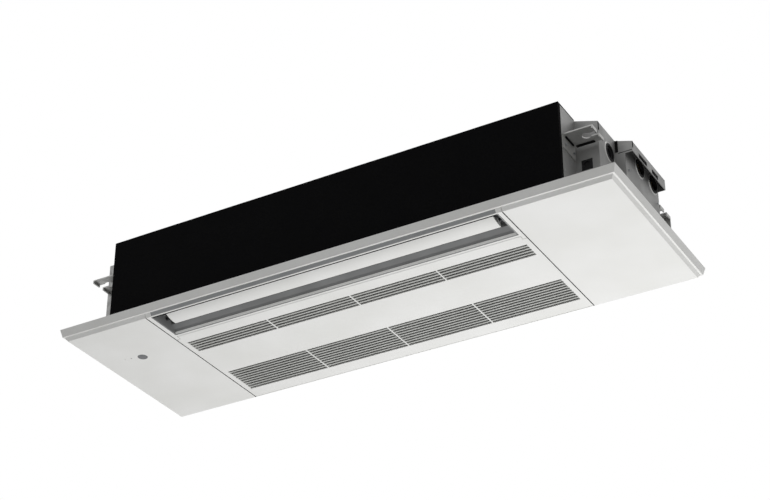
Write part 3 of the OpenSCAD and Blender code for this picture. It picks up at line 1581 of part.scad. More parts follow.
float_ring();
panel_screws();
sheet_screws();
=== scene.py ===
import math

import bmesh
import bpy
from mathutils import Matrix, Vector, noise


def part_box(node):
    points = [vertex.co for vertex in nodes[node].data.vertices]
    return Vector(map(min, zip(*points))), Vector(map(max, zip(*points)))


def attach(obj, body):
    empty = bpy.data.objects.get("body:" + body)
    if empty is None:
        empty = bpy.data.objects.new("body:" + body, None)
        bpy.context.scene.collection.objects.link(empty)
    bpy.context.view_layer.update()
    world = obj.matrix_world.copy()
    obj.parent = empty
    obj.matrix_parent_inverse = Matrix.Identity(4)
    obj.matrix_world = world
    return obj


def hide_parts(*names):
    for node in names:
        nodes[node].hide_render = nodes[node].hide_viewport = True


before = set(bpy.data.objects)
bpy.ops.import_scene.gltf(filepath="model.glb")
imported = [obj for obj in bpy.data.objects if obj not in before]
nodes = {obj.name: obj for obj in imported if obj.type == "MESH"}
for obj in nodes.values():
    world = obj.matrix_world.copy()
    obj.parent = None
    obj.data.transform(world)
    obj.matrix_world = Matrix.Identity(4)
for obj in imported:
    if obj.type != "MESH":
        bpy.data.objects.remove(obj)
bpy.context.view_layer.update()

mm = 0.001

# Ceiling panel: a base plate, two end covers and a centre frame between them.
# Injection-moulded ABS in warm white. The base plate is screwed up to the body's feet, and the
# covers and the frame clip over it from below, with a 1 mm joint between neighbours.


def linear(colour):
    """A hex sRGB colour as linear red, green, blue and alpha"""
    parts = [int(colour[i:i + 2], 16) / 255 for i in (0, 2, 4)]
    return [p / 12.92 if p <= 0.04045 else ((p + 0.055) / 1.055) ** 2.4 for p in parts] + [1]


def add(tree, kind, values=None, links=None, **settings):
    """Adds one node with its settings, its sockets' values and what feeds them"""
    node = tree.nodes.new(kind)
    for name, value in settings.items():
        setattr(node, name, value)
    for socket, value in (values or {}).items():
        node.inputs[socket].default_value = value
    for socket, source in (links or {}).items():
        tree.links.new(source, node.inputs[socket])
    return node


def finish(name, colour, roughness, **sockets):
    """A material with one plain shader, ready for patterns"""
    material = bpy.data.materials.new(name)
    material.use_nodes = True
    material.diffuse_color = linear(colour)
    tree = material.node_tree
    shader = tree.nodes["Principled BSDF"]
    shader.inputs["Base Color"].default_value = linear(colour)
    shader.inputs["Roughness"].default_value = roughness
    for socket, value in sockets.items():
        shader.inputs[socket.replace("_", " ")].default_value = value
    return {"material": material, "tree": tree, "shader": shader,
            "place": add(tree, "ShaderNodeTexCoord").outputs["Object"]}


def chain(tree, socket, node, inlet, outlet):
    """Puts a node between a shader's socket and what feeds it so far"""
    if socket.links:
        tree.links.new(socket.links[0].from_socket, node.inputs[inlet])
    tree.links.new(node.outputs[outlet], socket)


# The colour sockets of a Mix node, whose names it shares with those for numbers and vectors
mix_a, mix_b, mixed = 6, 7, 2


def patches(look, texture, size, low, high, tint=None, amount=1.0, rough=None, height=0.0,
            stretch=None, output=0, **settings):
    """Lays a pattern with cells of this size over a finish, which tints, roughens or raises it"""
    tree, shader, place = look["tree"], look["shader"], look["place"]
    if stretch:
        place = add(tree, "ShaderNodeMapping", {"Scale": stretch}, {"Vector": place}).outputs[0]
    grain = add(tree, texture, {"Scale": 1 / size}, {"Vector": place}, **settings).outputs[output]
    share = add(tree, "ShaderNodeMapRange", {"From Min": low, "From Max": high, "To Max": amount},
                {"Value": grain}).outputs[0]
    if tint:
        before = shader.inputs["Base Color"]
        colour = add(tree, "ShaderNodeMix", {mix_a: before.default_value, mix_b: linear(tint)},
                     {0: share}, data_type="RGBA")
        chain(tree, before, colour, mix_a, mixed)
    if rough:
        sheen = add(tree, "ShaderNodeMapRange",
                    {"From Max": amount, "To Min": rough[0], "To Max": rough[1]}, {"Value": share})
        tree.links.new(sheen.outputs[0], shader.inputs["Roughness"])
    if height:
        bump = add(tree, "ShaderNodeBump", {"Strength": 1.0, "Distance": height},
                   {"Height": grain})
        chain(tree, shader.inputs["Normal"], bump, "Normal", 0)


def dress(look, *names):
    """Gives CAD nodes this finish"""
    for name in names:
        slots = nodes[name].data.materials
        slots.clear()
        slots.append(look["material"])


NOISE, CELLS = "ShaderNodeTexNoise", "ShaderNodeTexVoronoi"

# White ABS from a spark-eroded mould: a fine satin grain of about half a millimetre, drawn at
# 0.9 mm so that it shows, and a tone that drifts a little over a hand's width
white_abs = finish("moulded_white_abs", "ededeb", 0.42, IOR=1.53)
patches(white_abs, NOISE, 140 * mm, 0.35, 0.65, tint="e7e7e4", rough=(0.38, 0.46))
patches(white_abs, NOISE, 0.9 * mm, 0, 1, height=0.012 * mm)
dress(white_abs, "panel_base", "side_cover_left", "side_cover_right", "centre_frame")


def shape_tree(name, **sizes):
    """A geometry tree with one named input for each size"""
    tree = bpy.data.node_groups.new(name, "GeometryNodeTree")
    tree.interface.new_socket("Geometry", in_out="INPUT", socket_type="NodeSocketGeometry")
    tree.interface.new_socket("Geometry", in_out="OUTPUT", socket_type="NodeSocketGeometry")
    for label, kind in sizes.items():
        tree.interface.new_socket(label, in_out="INPUT", socket_type="NodeSocket" + kind)
    return tree, tree.nodes.new("NodeGroupInput").outputs


def on_points(tree, size, thing):
    """Puts one of this thing on each point, turned as the tree's Turn says"""
    turned = add(tree, "FunctionNodeEulerToRotation", links={0: size["Turn"]}).outputs[0]
    return add(tree, "GeometryNodeInstanceOnPoints",
               links={"Points": size["Geometry"], "Instance": thing,
                      "Rotation": turned}).outputs[0]


def close_tree(tree, placed):
    """Ends a tree in real meshes of one material, and returns it with the node that sets this"""
    real = add(tree, "GeometryNodeRealizeInstances", links={"Geometry": placed}).outputs[0]
    coat = add(tree, "GeometryNodeSetMaterial", links={"Geometry": real})
    end = tree.nodes.new("NodeGroupOutput")
    tree.links.new(coat.outputs[0], end.inputs[0])
    return tree, coat


def grown(name, shape, look, points, body, **sizes):
    """Runs a tree on points, all in millimetres, and keeps the result as one plain mesh"""
    tree, coat = shape
    coat.inputs["Material"].default_value = look["material"]
    start = bpy.data.meshes.new(name)
    start.from_pydata([[c * mm for c in point] for point in points], [], [])
    piece = bpy.data.objects.new(name, start)
    bpy.context.scene.collection.objects.link(piece)
    modifier = piece.modifiers.new("growth", "NODES")
    modifier.node_group = tree
    for item in tree.interface.items_tree:
        if item.name in sizes and item.in_out == "INPUT":
            value = sizes[item.name]
            modifier[item.identifier] = value if item.name == "Turn" else value * mm
    graph = bpy.context.evaluated_depsgraph_get()
    mesh = bpy.data.meshes.new_from_object(piece.evaluated_get(graph))
    piece.modifiers.remove(modifier)
    piece.data = mesh
    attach(piece, body)
    return piece


# Bars with rounded edges, one on each point: they run along X unless they are turned
quarter, corner_steps = math.pi / 2, 3
along, across, upright = (0.0, 0.0, 0.0), (0.0, 0.0, quarter), (0.0, quarter, 0.0)
tree, size = shape_tree("rounded_bars", Length="Float", Width="Float", Height="Float",
                        Fillet="Float", Turn="Vector")
section = add(tree, "GeometryNodeCurvePrimitiveQuadrilateral",
              links={"Width": size["Height"], "Height": size["Width"]}).outputs[0]
section = add(tree, "GeometryNodeFilletCurve", {"Count": corner_steps},
              {"Curve": section, "Radius": size["Fillet"]}, mode="POLY").outputs[0]
half = add(tree, "ShaderNodeMath", {1: 0.5}, {0: size["Length"]}, operation="MULTIPLY").outputs[0]
far_end = add(tree, "ShaderNodeCombineXYZ", links={"Z": half}).outputs[0]
near_end = add(tree, "ShaderNodeVectorMath", {1: (-1, -1, -1)}, {0: far_end},
               operation="MULTIPLY").outputs[0]
line = add(tree, "GeometryNodeCurvePrimitiveLine", links={"Start": near_end, "End": far_end})
swept = add(tree, "GeometryNodeCurveToMesh", {"Fill Caps": True},
            {"Curve": line.outputs[0], "Profile Curve": section}).outputs[0]
laid = add(tree, "GeometryNodeTransform", {"Rotation": upright}, {"Geometry": swept}).outputs[0]
bars = close_tree(tree, on_points(tree, size, laid))

# Black foam tape behind the joints, as painted shade: it stands for the shade deep in each joint
# and shows there as a thin dark line
shade_foam = finish("black_foam_painted_shade", "0c0c0d", 0.9, IOR=1.5, Specular_IOR_Level=0.1)
patches(shade_foam, NOISE, 1.5 * mm, 0.3, 0.7, tint="151516", rough=(0.8, 0.95), height=0.1 * mm)
deck_z, deck_half, joint_left, joint_right, grille_joint_y = -23.4, 194.0, -398.0, 376.0, -104.3
tape_t, tape_h, tape_round, tape_off, tape_end = 0.6, 2.2, 0.1, 0.2, 1.0
tape_z = deck_z + 1.5
grown("joint_shade_tape", bars, shade_foam,
      [(joint_left - tape_off, 0, tape_z), (joint_right + tape_off, 0, tape_z)], "unit",
      Length=2 * deck_half, Width=tape_t, Height=tape_h, Fillet=tape_round, Turn=across)
grown("grille_joint_shade_tape", bars, shade_foam,
      [((joint_left + joint_right) / 2, grille_joint_y, tape_z)], "unit",
      Length=joint_right - joint_left - 2 * tape_end, Width=tape_t, Height=tape_h,
      Fillet=tape_round)
# A soft black bead over the two long joints widens their painted shade line a little
bead_w, bead_h, bead_round = 1.9, 0.7, 0.3
grown("joint_shade_bead", bars, shade_foam, [(joint_left, 0, deck_z), (joint_right, 0, deck_z)], "unit",
      Length=2 * deck_half, Width=bead_w, Height=bead_h, Fillet=bead_round, Turn=across)


def skin(shape, rings, capped=True):
    """Faces from each ring of corners to the next, and over the first and the last"""
    for near, far in zip(rings, rings[1:]):
        for i in range(len(near)):
            k = (i + 1) % len(near)
            shape.faces.new((near[i], near[k], far[k], far[i]))
    if capped:
        shape.faces.new(rings[0])
        shape.faces.new(reversed(rings[-1]))


def close_shape(shape, name, look, body):
    """Keeps a finished shape as one mesh with its faces outwards"""
    bmesh.ops.recalc_face_normals(shape, faces=shape.faces)
    mesh = bpy.data.meshes.new(name)
    shape.to_mesh(mesh)
    shape.free()
    mesh.materials.append(look["material"])
    piece = bpy.data.objects.new(name, mesh)
    bpy.context.scene.collection.objects.link(piece)
    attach(piece, body)
    return piece


def drawn_along_x(name, section, x0, x1, look, body):
    """A straight piece with this section of (y, z) points, all in millimetres"""
    shape = bmesh.new()
    skin(shape, [[shape.verts.new((x * mm, y * mm, z * mm)) for y, z in section]
                 for x in (x0, x1)])
    close_shape(shape, name, look, body)


# Tongues on the centre frame carry the rim on over the long joints, so that it looks unbroken.
# They lie a hair inside the rim's own faces and fill the joint between the covers and the frame
rim_y, rim_lean, rim_top, rim_drop, rim_t, ledge_w = 207.0, 4.3, -0.1, 16.0, 2.0, 3.5
joint_half, shy = 0.5, 0.02
foot_y, foot_z, ledge_z = rim_y - rim_lean, shy - rim_drop, rim_t - rim_drop
section = [(rim_y - shy, rim_top), (foot_y - shy, foot_z), (foot_y - ledge_w, foot_z),
           (foot_y - ledge_w, ledge_z), (foot_y - rim_t, ledge_z), (rim_y - rim_t, rim_top)]
for label, x in (("left", joint_left), ("right", joint_right)):
    for end, side in (("front", -1), ("rear", 1)):
        drawn_along_x("rim_tongue_%s_%s" % (label, end), [(side * y, z) for y, z in section],
                      x - joint_half, x + joint_half, white_abs, "unit")

# Air outlet: a strip along the front slope, and the liner of the recess behind the vane. Both are
# grey ABS, snapped to the base plate. The liner's dark grey is painted shade: it stands for the
# shade deep in the recess, and keeps the open outlet from showing from below.

# Dark grey ABS, painted dark as shade for the recess, with a dull, slightly coarser grain, and
# darker where the air's dust settles
recess_shade_abs = finish("dark_grey_abs_painted_recess_shade", "7f8080", 0.55, IOR=1.53)
patches(recess_shade_abs, NOISE, 60 * mm, 0.4, 0.7, tint="757676", rough=(0.5, 0.62))
patches(recess_shade_abs, NOISE, 1.2 * mm, 0, 1, height=0.02 * mm)
dress(recess_shade_abs, "outlet_liner")

# The front strip is a lighter grey than the liner
strip_abs = finish("moulded_light_grey_abs", "97999a", 0.5, IOR=1.53)
patches(strip_abs, NOISE, 60 * mm, 0.4, 0.7, tint="8f9192", rough=(0.45, 0.58))
patches(strip_abs, NOISE, 1.2 * mm, 0, 1, height=0.02 * mm)
dress(strip_abs, "outlet_strip")

# A pale lip is snapped over the far wall's lower edge, along the whole outlet. Its section is
# given as shares of the way up the wall and millimetres out from it
lip_edge, lip_back = Vector((-112.0, deck_z)), Vector((-118.0, -15.4))
lip_run = lip_back - lip_edge
lip_out = Vector((-lip_run.y, lip_run.x)).normalized()
lip_steps = ((0.05, 0.05), (0.05, 0.3), (0.09, 0.45), (0.46, 0.45), (0.5, 0.3), (0.5, 0.05))
outlet_ends, outlet_front = (-384.8, 363.8), -192.0
drawn_along_x("outlet_lip", [lip_edge + lip_run * share + lip_out * proud
                             for share, proud in lip_steps], *outlet_ends, white_abs, "unit")

# A soft black seal runs along the outlet's front edge, where the closed vane meets it. Its black
# is painted shade: it stands for the thin shadow line in the gap there
seal_in, seal_up, seal_w, seal_h, seal_round = 1.8, 1.1, 3.4, 2.4, 0.4
grown("outlet_shade_seal", bars, shade_foam,
      [(sum(outlet_ends) / 2, outlet_front + seal_in, deck_z + seal_up)], "unit",
      Length=outlet_ends[1] - outlet_ends[0], Width=seal_w, Height=seal_h, Fillet=seal_round)

# Vane: one long curved blade of white ABS that closes the outlet. It turns on pins at its ends,
# driven by a small geared stepping motor behind the recess's right wall.
dress(white_abs, "vane")

# Black nylon of the motor's housing, smooth with a soft gloss and fine flow marks
black_nylon = finish("moulded_black_nylon", "1d1e20", 0.4, IOR=1.53)
patches(black_nylon, NOISE, 18 * mm, 0.3, 0.7, tint="26272a", rough=(0.34, 0.5))
patches(black_nylon, NOISE, 0.8 * mm, 0, 1, height=0.015 * mm)
dress(black_nylon, "vane_motor")

# Black nylon bushes over the vane's two pins; their black also paints the shade at the vane's ends
vane_left, vane_right, pin_y, pin_z, bush_d, bush_round = -367.8, 346.3, -146.0, -5.4, 6.4, 3.1
for label, x0, x1 in (("left", outlet_ends[0], vane_left), ("right", vane_right, outlet_ends[1])):
    grown("vane_shade_bush_" + label, bars, black_nylon, [((x0 + x1) / 2, pin_y, pin_z)], "unit",
          Length=x1 - x0, Width=bush_d, Height=bush_d, Fillet=bush_round)

# Louvres: two gangs of three blades that steer the air sideways. Dark grey ABS like the liner,
# painted dark as shade in the recess as the liner is, each blade on its own pivot, with a bar that
# ties a gang together.
for number in range(1, 7):
    dress(recess_shade_abs, "louvre_blade_%d" % number)
dress(recess_shade_abs, "louvre_link_left", "louvre_link_right")

# Intake grille: a white ABS door with two bands of fine slats, hinged at its front edge on
# steel pins so that it swings down for cleaning.
dress(white_abs, "intake_grille")

# The slats are grey caps over the grille's own thin bars, in four fields between white ribs: five
# openings in the near band and ten in the far one. Their grey is partly painted shade, for the
# shade that falls on the recessed slats
slat_grey_and_shade = finish("mid_grey_abs_and_slat_shade", "b7b8b4", 0.5, IOR=1.53)
patches(slat_grey_and_shade, NOISE, 50 * mm, 0.35, 0.7, tint="afb0ac", rough=(0.44, 0.58))
patches(slat_grey_and_shade, NOISE, 0.9 * mm, 0, 1, height=0.012 * mm)
slots_left, field_w, slat_fields, slot_pitch, slot_w = -386.0, 187.5, 4, 9.1, 5.4
near_band, far_band = (-73.0, 5), (71.0, 10)
cap_z, cap_h, cap_round, cap_short, cap_lap = deck_z + 1.75, 2.7, 0.7, 1.4, 0.1
slat_w = slot_pitch - slot_w
slat_places = [(slots_left + (field + 0.5) * field_w,
                band_y + slot * slot_pitch + slot_w + slat_w / 2, cap_z)
               for band_y, slots in (near_band, far_band)
               for slot in range(slots - 1) for field in range(slat_fields)]
grown("intake_slats", bars, slat_grey_and_shade, slat_places, "grille",
      Length=field_w - cap_short, Width=slat_w + cap_lap, Height=cap_h, Fillet=cap_round)

# Zinc-plated steel, bright and smooth, a little blue, with faint rubbing
plated_steel = finish("zinc_plated_steel", "b9bdc2", 0.28, Metallic=1.0)
patches(plated_steel, NOISE, 6 * mm, 0.35, 0.7, tint="9da2a8", rough=(0.22, 0.4))
dress(plated_steel, "grille_hinge_pins")

# Air filters: two frames of black polypropylene with ribs and a fine net moulded into them.
# They lie in the grille and lift out once it hangs open.
filter_pp = finish("moulded_black_polypropylene", "2b2d2f", 0.5, IOR=1.49)
patches(filter_pp, NOISE, 30 * mm, 0.4, 0.65, tint="343638", rough=(0.44, 0.56))
patches(filter_pp, NOISE, 1 * mm, 0, 1, height=0.015 * mm)

# The net's threads are 0.4 mm thick and 3 mm apart here, twice the real spacing, so that they show
net_pitch, net_t, net_up, frame_w, rib_w, filter_fields = 3.0, 0.4, 1.2, 6.0, 1.2, 4
edge, edge_round = frame_w / 2, 0.8
for side in ("left", "right"):
    low, high = [corner / mm for corner in map(Vector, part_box("filter_" + side))]
    mid, span = (low + high) / 2, high - low
    net_z = low.z + net_up
    rows, columns = [int((reach - frame_w) / net_pitch) for reach in (span.y, span.x)]
    for label, places, length, width, height, turn in (
            ("frame_long", [(mid.x, y, mid.z) for y in (low.y + edge, high.y - edge)],
             span.x, frame_w, span.z, along),
            ("frame_short", [(x, mid.y, mid.z) for x in (low.x + edge, high.x - edge)],
             span.y, frame_w, span.z, across),
            ("ribs", [(low.x + span.x * i / filter_fields, mid.y, mid.z)
                      for i in range(1, filter_fields)], span.y - frame_w, rib_w, span.z, across),
            ("threads_long", [(mid.x, low.y + edge + (i + 0.5) * net_pitch, net_z)
                              for i in range(rows)], span.x - frame_w, net_t, net_t, along),
            ("threads_short", [(low.x + edge + (i + 0.5) * net_pitch, mid.y, net_z)
                               for i in range(columns)], span.y - frame_w, net_t, net_t, across)):
        grown("filter_%s_%s" % (side, label), bars, filter_pp, places,
                           "filter_" + side, Length=length, Width=width, Height=height,
                           Fillet=min(edge_round, width / 3), Turn=turn)
    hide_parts("filter_" + side)

# Catches: two push latches of white ABS that hold the grille's rear edge, each with a plunger.
dress(white_abs, "catch_bodies")
dress(black_nylon, "catch_plunger_left", "catch_plunger_right")

# Receiver: a round window for the remote's signal, a lamp's lens, the manual button and the
# circuit board behind them, all clipped into the left cover.

# Smoked polycarbonate of the window: dark, very smooth, with a hint of orange-peel
smoked_window = finish("smoked_polycarbonate", "5d5f62", 0.12, IOR=1.58)
patches(smoked_window, NOISE, 5 * mm, 0.3, 0.7, tint="515356", rough=(0.08, 0.18))
dress(smoked_window, "receiver_window")

# Milky plastic of the lamp's lens, seen unlit
lamp_plastic = finish("milky_polycarbonate", "8b8d8c", 0.25, IOR=1.58)
patches(lamp_plastic, NOISE, 1 * mm, 0.3, 0.7, tint="7c7e7d", rough=(0.2, 0.32))
dress(lamp_plastic, "lamp_lens")
dress(white_abs, "manual_button")

# Glass-epoxy board with green solder mask: the weave shows as a fine square relief
green_board = finish("green_glass_epoxy_board", "1f5a37", 0.3, IOR=1.55)
patches(green_board, "ShaderNodeTexBrick", 6 * mm, 0.2, 0.8, tint="2c6f47", output=1)
patches(green_board, CELLS, 1.2 * mm, 0, 1, rough=(0.24, 0.42), height=0.02 * mm)
dress(green_board, "receiver_board", "control_board")

# Body: a folded casing of hot-dip galvanised sheet with two end plates, spot-welded along its
# flanges. The front carries a thick slab of black foam, which laps over the top edge.

# Galvanised steel: grey zinc with frost-like spangles about 9 mm across, each with its own
# tone and dullness, and a faint haze of handling
galvanised = finish("hot_dip_galvanised_steel", "aaaaa9", 0.42, Metallic=0.7)
patches(galvanised, CELLS, 9 * mm, 0.1, 0.9, tint="989897", rough=(0.34, 0.56), output=1)
patches(galvanised, NOISE, 70 * mm, 0.4, 0.75, tint="a0a09f", amount=0.5)
patches(galvanised, NOISE, 2.5 * mm, 0, 1, height=0.01 * mm)
dress(galvanised, "casing", "end_plate_left")

# Stiffening beads pressed out of the top and the rear, and the rows of weld spots by the folds
body_rear, body_top, body_end, flange = 180.0, 175.0, 492.0, 8.0
press_w, press_t, press_out, press_round = 14, 2, 0.2, 0.95
top_mid_y, top_run, rear_mid_z, rear_run = 32.0, 240, 88.0, 130
press_xs = [-400.0 + 160.0 * i for i in range(6)]
grown("top_beads", bars, galvanised, [(x, top_mid_y, body_top + press_out) for x in press_xs],
      "unit", Length=top_run, Width=press_w, Height=press_t, Fillet=press_round, Turn=across)
grown("rear_beads", bars, galvanised, [(x, body_rear + press_out, rear_mid_z) for x in press_xs],
      "unit", Length=rear_run, Width=press_t, Height=press_w, Fillet=press_round, Turn=upright)
weld = {"Length": 0.5, "Width": 5, "Height": 5, "Fillet": 2.4}
weld_xs = [-480.0 + 40.0 * i for i in range(25)]
weld_y, weld_z = body_rear - flange, body_top - flange
grown("top_welds", bars, galvanised, [(x, weld_y, body_top) for x in weld_xs], "unit",
      Turn=upright, **weld)
grown("rear_welds", bars, galvanised,
      [(x, body_rear, z) for x in weld_xs for z in (flange, weld_z)], "unit", Turn=across, **weld)
grown("end_welds", bars, galvanised,
      [(x, y, z) for x in (-body_end, body_end) for y in (-weld_y, weld_y)
       for z in (12.0, 40.0, 150.0, weld_z)], "unit", **weld)

# Closed-cell polyethylene foam, black: a skin pitted with cells of 1 to 2 mm and broad soft
# dents, nearly without gloss
black_foam = finish("closed_cell_polyethylene_foam", "060607", 0.92, IOR=1.5,
                    Specular_IOR_Level=0.06)
patches(black_foam, NOISE, 90 * mm, 0.4, 0.7, tint="111112", height=0.5 * mm)
patches(black_foam, CELLS, 2 * mm, 0, 0.6, tint="070708", rough=(0.8, 0.95), height=0.1 * mm)

# The slab is cut and glued by hand, so its faces are a little wavy and its edges soft. Each
# corner of its outline has a y, a z and the way in which it is dented
foam_low, foam_high = [Vector(corner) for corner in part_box("front_insulation")]
face_y, back_y, back_z, flap_y = foam_low.y, -body_rear * mm, body_top * mm, -120 * mm
soft, face_rows, flap_rows, foam_steps = 1.5 * mm, 14, 6, 90
dent_depth, dents_per_metre = 0.35 * mm, 14
outline = [(back_y, 0, 0, 0)]
outline += [(face_y, foam_high.z * i / face_rows, -1, 0) for i in range(face_rows)]
outline += [(face_y, foam_high.z - soft, -1, 0), (face_y + soft, foam_high.z, 0, 1)]
outline += [(face_y + (flap_y - face_y) * i / flap_rows, foam_high.z, 0, 1)
            for i in range(1, flap_rows)]
outline += [(flap_y - soft, foam_high.z, 0, 1), (flap_y, foam_high.z - soft, 0, 0),
            (flap_y, back_z, 0, 0), (back_y, back_z, 0, 0)]
slab = bmesh.new()
rings = []
for step in range(foam_steps + 1):
    x = foam_low.x + (foam_high.x - foam_low.x) * step / foam_steps
    ring = []
    for y, z, out_y, out_z in outline:
        wave = noise.noise(Vector((x, y, z)) * dents_per_metre)
        dent = dent_depth * (1 + wave) if 0 < z else 0
        ring.append(slab.verts.new((x, y - out_y * dent, z - out_z * dent)))
    rings.append(ring)
skin(slab, rings)
foam_slab = close_shape(slab, "foam_slab", black_foam, "unit")
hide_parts("front_insulation")

# Hanger brackets: four folded brackets of zinc-plated steel with open slots for the threaded
# rods, screwed to the end plates.

# Zinc plating on the thicker steel of the brackets: smoother than the casing and without spangles.
# Its tone is painted paler than plated steel, as painted light, so that the shaded undersides of
# the brackets read as lit
lightened_zinc = finish("zinc_plated_steel_painted_light", "bcbcba", 0.38, Metallic=0.5)
patches(lightened_zinc, NOISE, 14 * mm, 0.35, 0.7, tint="ababa9", rough=(0.3, 0.48))
patches(lightened_zinc, NOISE, 1.5 * mm, 0, 1, height=0.01 * mm)
dress(lightened_zinc, "hanger_brackets")

# Black foam pads lie in the fold between each bracket and the end plate. They are painted shade:
# dark pads that stand for the deep shadow under each bracket
pad_x, pad_y, pad_z, pad_run, pad_t, pad_h = 496.0, 154.5, 109.8, 32, 2.5, 3
fold_round = 0.5
grown("bracket_shade_pads", bars, shade_foam,
      [(sx * pad_x, sy * pad_y, pad_z) for sx in (-1, 1) for sy in (-1, 1)], "unit",
      Length=pad_run, Width=pad_t, Height=pad_h, Fillet=fold_round, Turn=across)

# The rear brackets carry a stiffening lip, folded down along their rear edge
lip_x, lip_y, lip_z, lip_w, lip_t, lip_h = 522.6, 176.6, 98.2, 56.6, 2.5, 28.2
grown("bracket_rear_lips", bars, lightened_zinc, [(sx * lip_x, lip_y, lip_z) for sx in (-1, 1)],
      "unit", Length=lip_w, Width=lip_t, Height=lip_h, Fillet=fold_round)

# Control box: a galvanised tray and its screwed cover on the left end, over the main board.
dress(galvanised, "control_box", "control_box_cover")

# Pipe bay: a folded cover of galvannealed sheet on the right end, with a drip hood over the flare
# ports, rubber grommets round the ports and the terminal block inside.

# Galvannealed sheet: the zinc is baked into the steel, which leaves a dull, darker grey coat with
# soft clouds and no spangles. The body's right end plate is of the same sheet
annealed = finish("galvannealed_steel", "939392", 0.5, Metallic=0.55)
patches(annealed, NOISE, 45 * mm, 0.35, 0.75, tint="868685", rough=(0.44, 0.6))
patches(annealed, NOISE, 2 * mm, 0, 1, height=0.01 * mm)
dress(annealed, "pipe_bay_cover", "end_plate_right")

# Black EPDM rubber, matt, with the faint bloom that rubber gets
black_rubber_and_shade = finish("black_epdm_rubber_and_shade", "0c0c0d", 0.7, IOR=1.52, Specular_IOR_Level=0.25)
patches(black_rubber_and_shade, NOISE, 12 * mm, 0.4, 0.7, tint="161617", rough=(0.6, 0.76))
patches(black_rubber_and_shade, NOISE, 0.7 * mm, 0, 1, height=0.02 * mm)
dress(black_rubber_and_shade, "port_grommets", "bearing_holder")

# Strips of black foam lie in the open folds of the cover as painted shade, dark where shadow
# falls: one under the front bracket's edge, one down each of three corners, one along the hood's
# seam and one behind each hood slot
strip_round = 0.3
for label, place, length, width, height, turn in (
        ("bracket", (517.0, -131.6, 110.7), 36, 6.5, 1.6, along),
        ("corner_near", (538.2, -118.9, 150.8), 17, 3.6, 1, upright),
        ("corner_step", (541.0, -46.3, 146.4), 25, 1, 5.5, upright),
        ("corner_hood", (572.2, -44.3, 142.4), 13, 3.2, 1, upright),
        ("seam", (557.0, -46.2, 131.0), 27, 0.8, 0.8, along),
        ("slot_near", (570.6, 2.0, 134.5), 37.4, 0.6, 9.4, across),
        ("slot_far", (570.6, 58.0, 134.5), 29.4, 0.6, 9.4, across)):
    grown("bay_shade_strip_" + label, bars, shade_foam, [place], "unit", Length=length, Width=width,
          Height=height, Fillet=min(width, height) * strip_round, Turn=turn)

# The plug in the cable window has a thin closed membrane, which the fitter pierces. Its black is
# painted shade: it stands for the shade inside the cable window
plug_place, plug_bore, membrane_t, membrane_round = (513.0, -119.6, 73.5), 13, 0.8, 6.4
grown("cable_shade_membrane", bars, black_rubber_and_shade, [plug_place], "unit", Length=membrane_t,
      Width=plug_bore, Height=plug_bore, Fillet=membrane_round, Turn=across)

# Collars pressed outwards round the three ports stiffen the thin sheet. Their profile is given
# as millimetres out from the port's edge and millimetres proud of the sheet
bay_near_x, bay_far_x = 538.0, 557.0
port_r, collar_steps = 18.2, 48
collar_profile = ((0, 0), (0.5, 1.3), (2.0, 1.3), (3.0, 0))
collars = bmesh.new()
for port_x, port_y, port_z in ((bay_near_x, -74.0, 118.0), (bay_far_x, 20.5, 132.0),
                               (bay_far_x, 81.5, 131.0)):
    turns = []
    for step in range(collar_steps):
        angle = math.tau * step / collar_steps
        turns.append([collars.verts.new(((port_x + proud) * mm,
                                         (port_y + (port_r + out) * math.cos(angle)) * mm,
                                         (port_z + (port_r + out) * math.sin(angle)) * mm))
                      for out, proud in collar_profile])
    skin(collars, turns + turns[:1], capped=False)
# The collars take the paler bracket zinc rather than the sheet's own coat: a painted highlight
# round each port
close_shape(collars, "port_collars", lightened_zinc, "unit")

# Natural nylon of the terminal block: off-white, slightly waxy
white_nylon = finish("natural_nylon", "dcd8cb", 0.45, IOR=1.53)
patches(white_nylon, NOISE, 15 * mm, 0.35, 0.7, tint="d2cdbd", rough=(0.4, 0.52))
patches(white_nylon, NOISE, 0.8 * mm, 0, 1, height=0.012 * mm)
dress(white_nylon, "terminal_block")

# Fan: a long cross-flow wheel of glass-filled resin on steel shafts. Its motor stands on a flange
# and three posts at the left, and its bearing sits in a rubber holder at the right.
fan_resin = finish("glass_filled_styrene_resin", "3a3c3e", 0.5, IOR=1.57)
patches(fan_resin, NOISE, 25 * mm, 0.4, 0.7, tint="454749", rough=(0.42, 0.6))
patches(fan_resin, NOISE, 0.6 * mm, 0, 1, height=0.02 * mm, stretch=(0.2, 1, 1))
dress(fan_resin, "fan_wheel")
dress(plated_steel, "fan_shafts", "fan_bearing")
dress(black_nylon, "fan_motor")
dress(galvanised, "motor_bracket")

# Scroll and stabilizer: the fan's air path, moulded of expanded polystyrene and set in the
# casing. Beads of 3 to 5 mm show as flat cells with fine dark seams.
grey_eps = finish("moulded_expanded_polystyrene", "b9bbbc", 0.75, IOR=1.55)
patches(grey_eps, CELLS, 4 * mm, 0.0, 0.12, tint="cfd1d1", rough=(0.85, 0.7),
        feature="DISTANCE_TO_EDGE")
patches(grey_eps, CELLS, 4 * mm, 0.1, 0.9, tint="c4c6c6", amount=0.6, height=0.1 * mm)
dress(grey_eps, "scroll_casing", "stabilizer")

# Coil: thin aluminium fins on expanded copper tubes between two galvanised tube sheets.
fin_aluminium = finish("rolled_aluminium_fin_stock", "dddfe0", 0.4, Metallic=0.3)
patches(fin_aluminium, NOISE, 20 * mm, 0.4, 0.7, tint="d0d3d5", rough=(0.34, 0.5))
patches(fin_aluminium, "ShaderNodeTexWave", 3 * mm, 0, 1, tint="c3c6c8", height=0.1 * mm,
        bands_direction="Y")

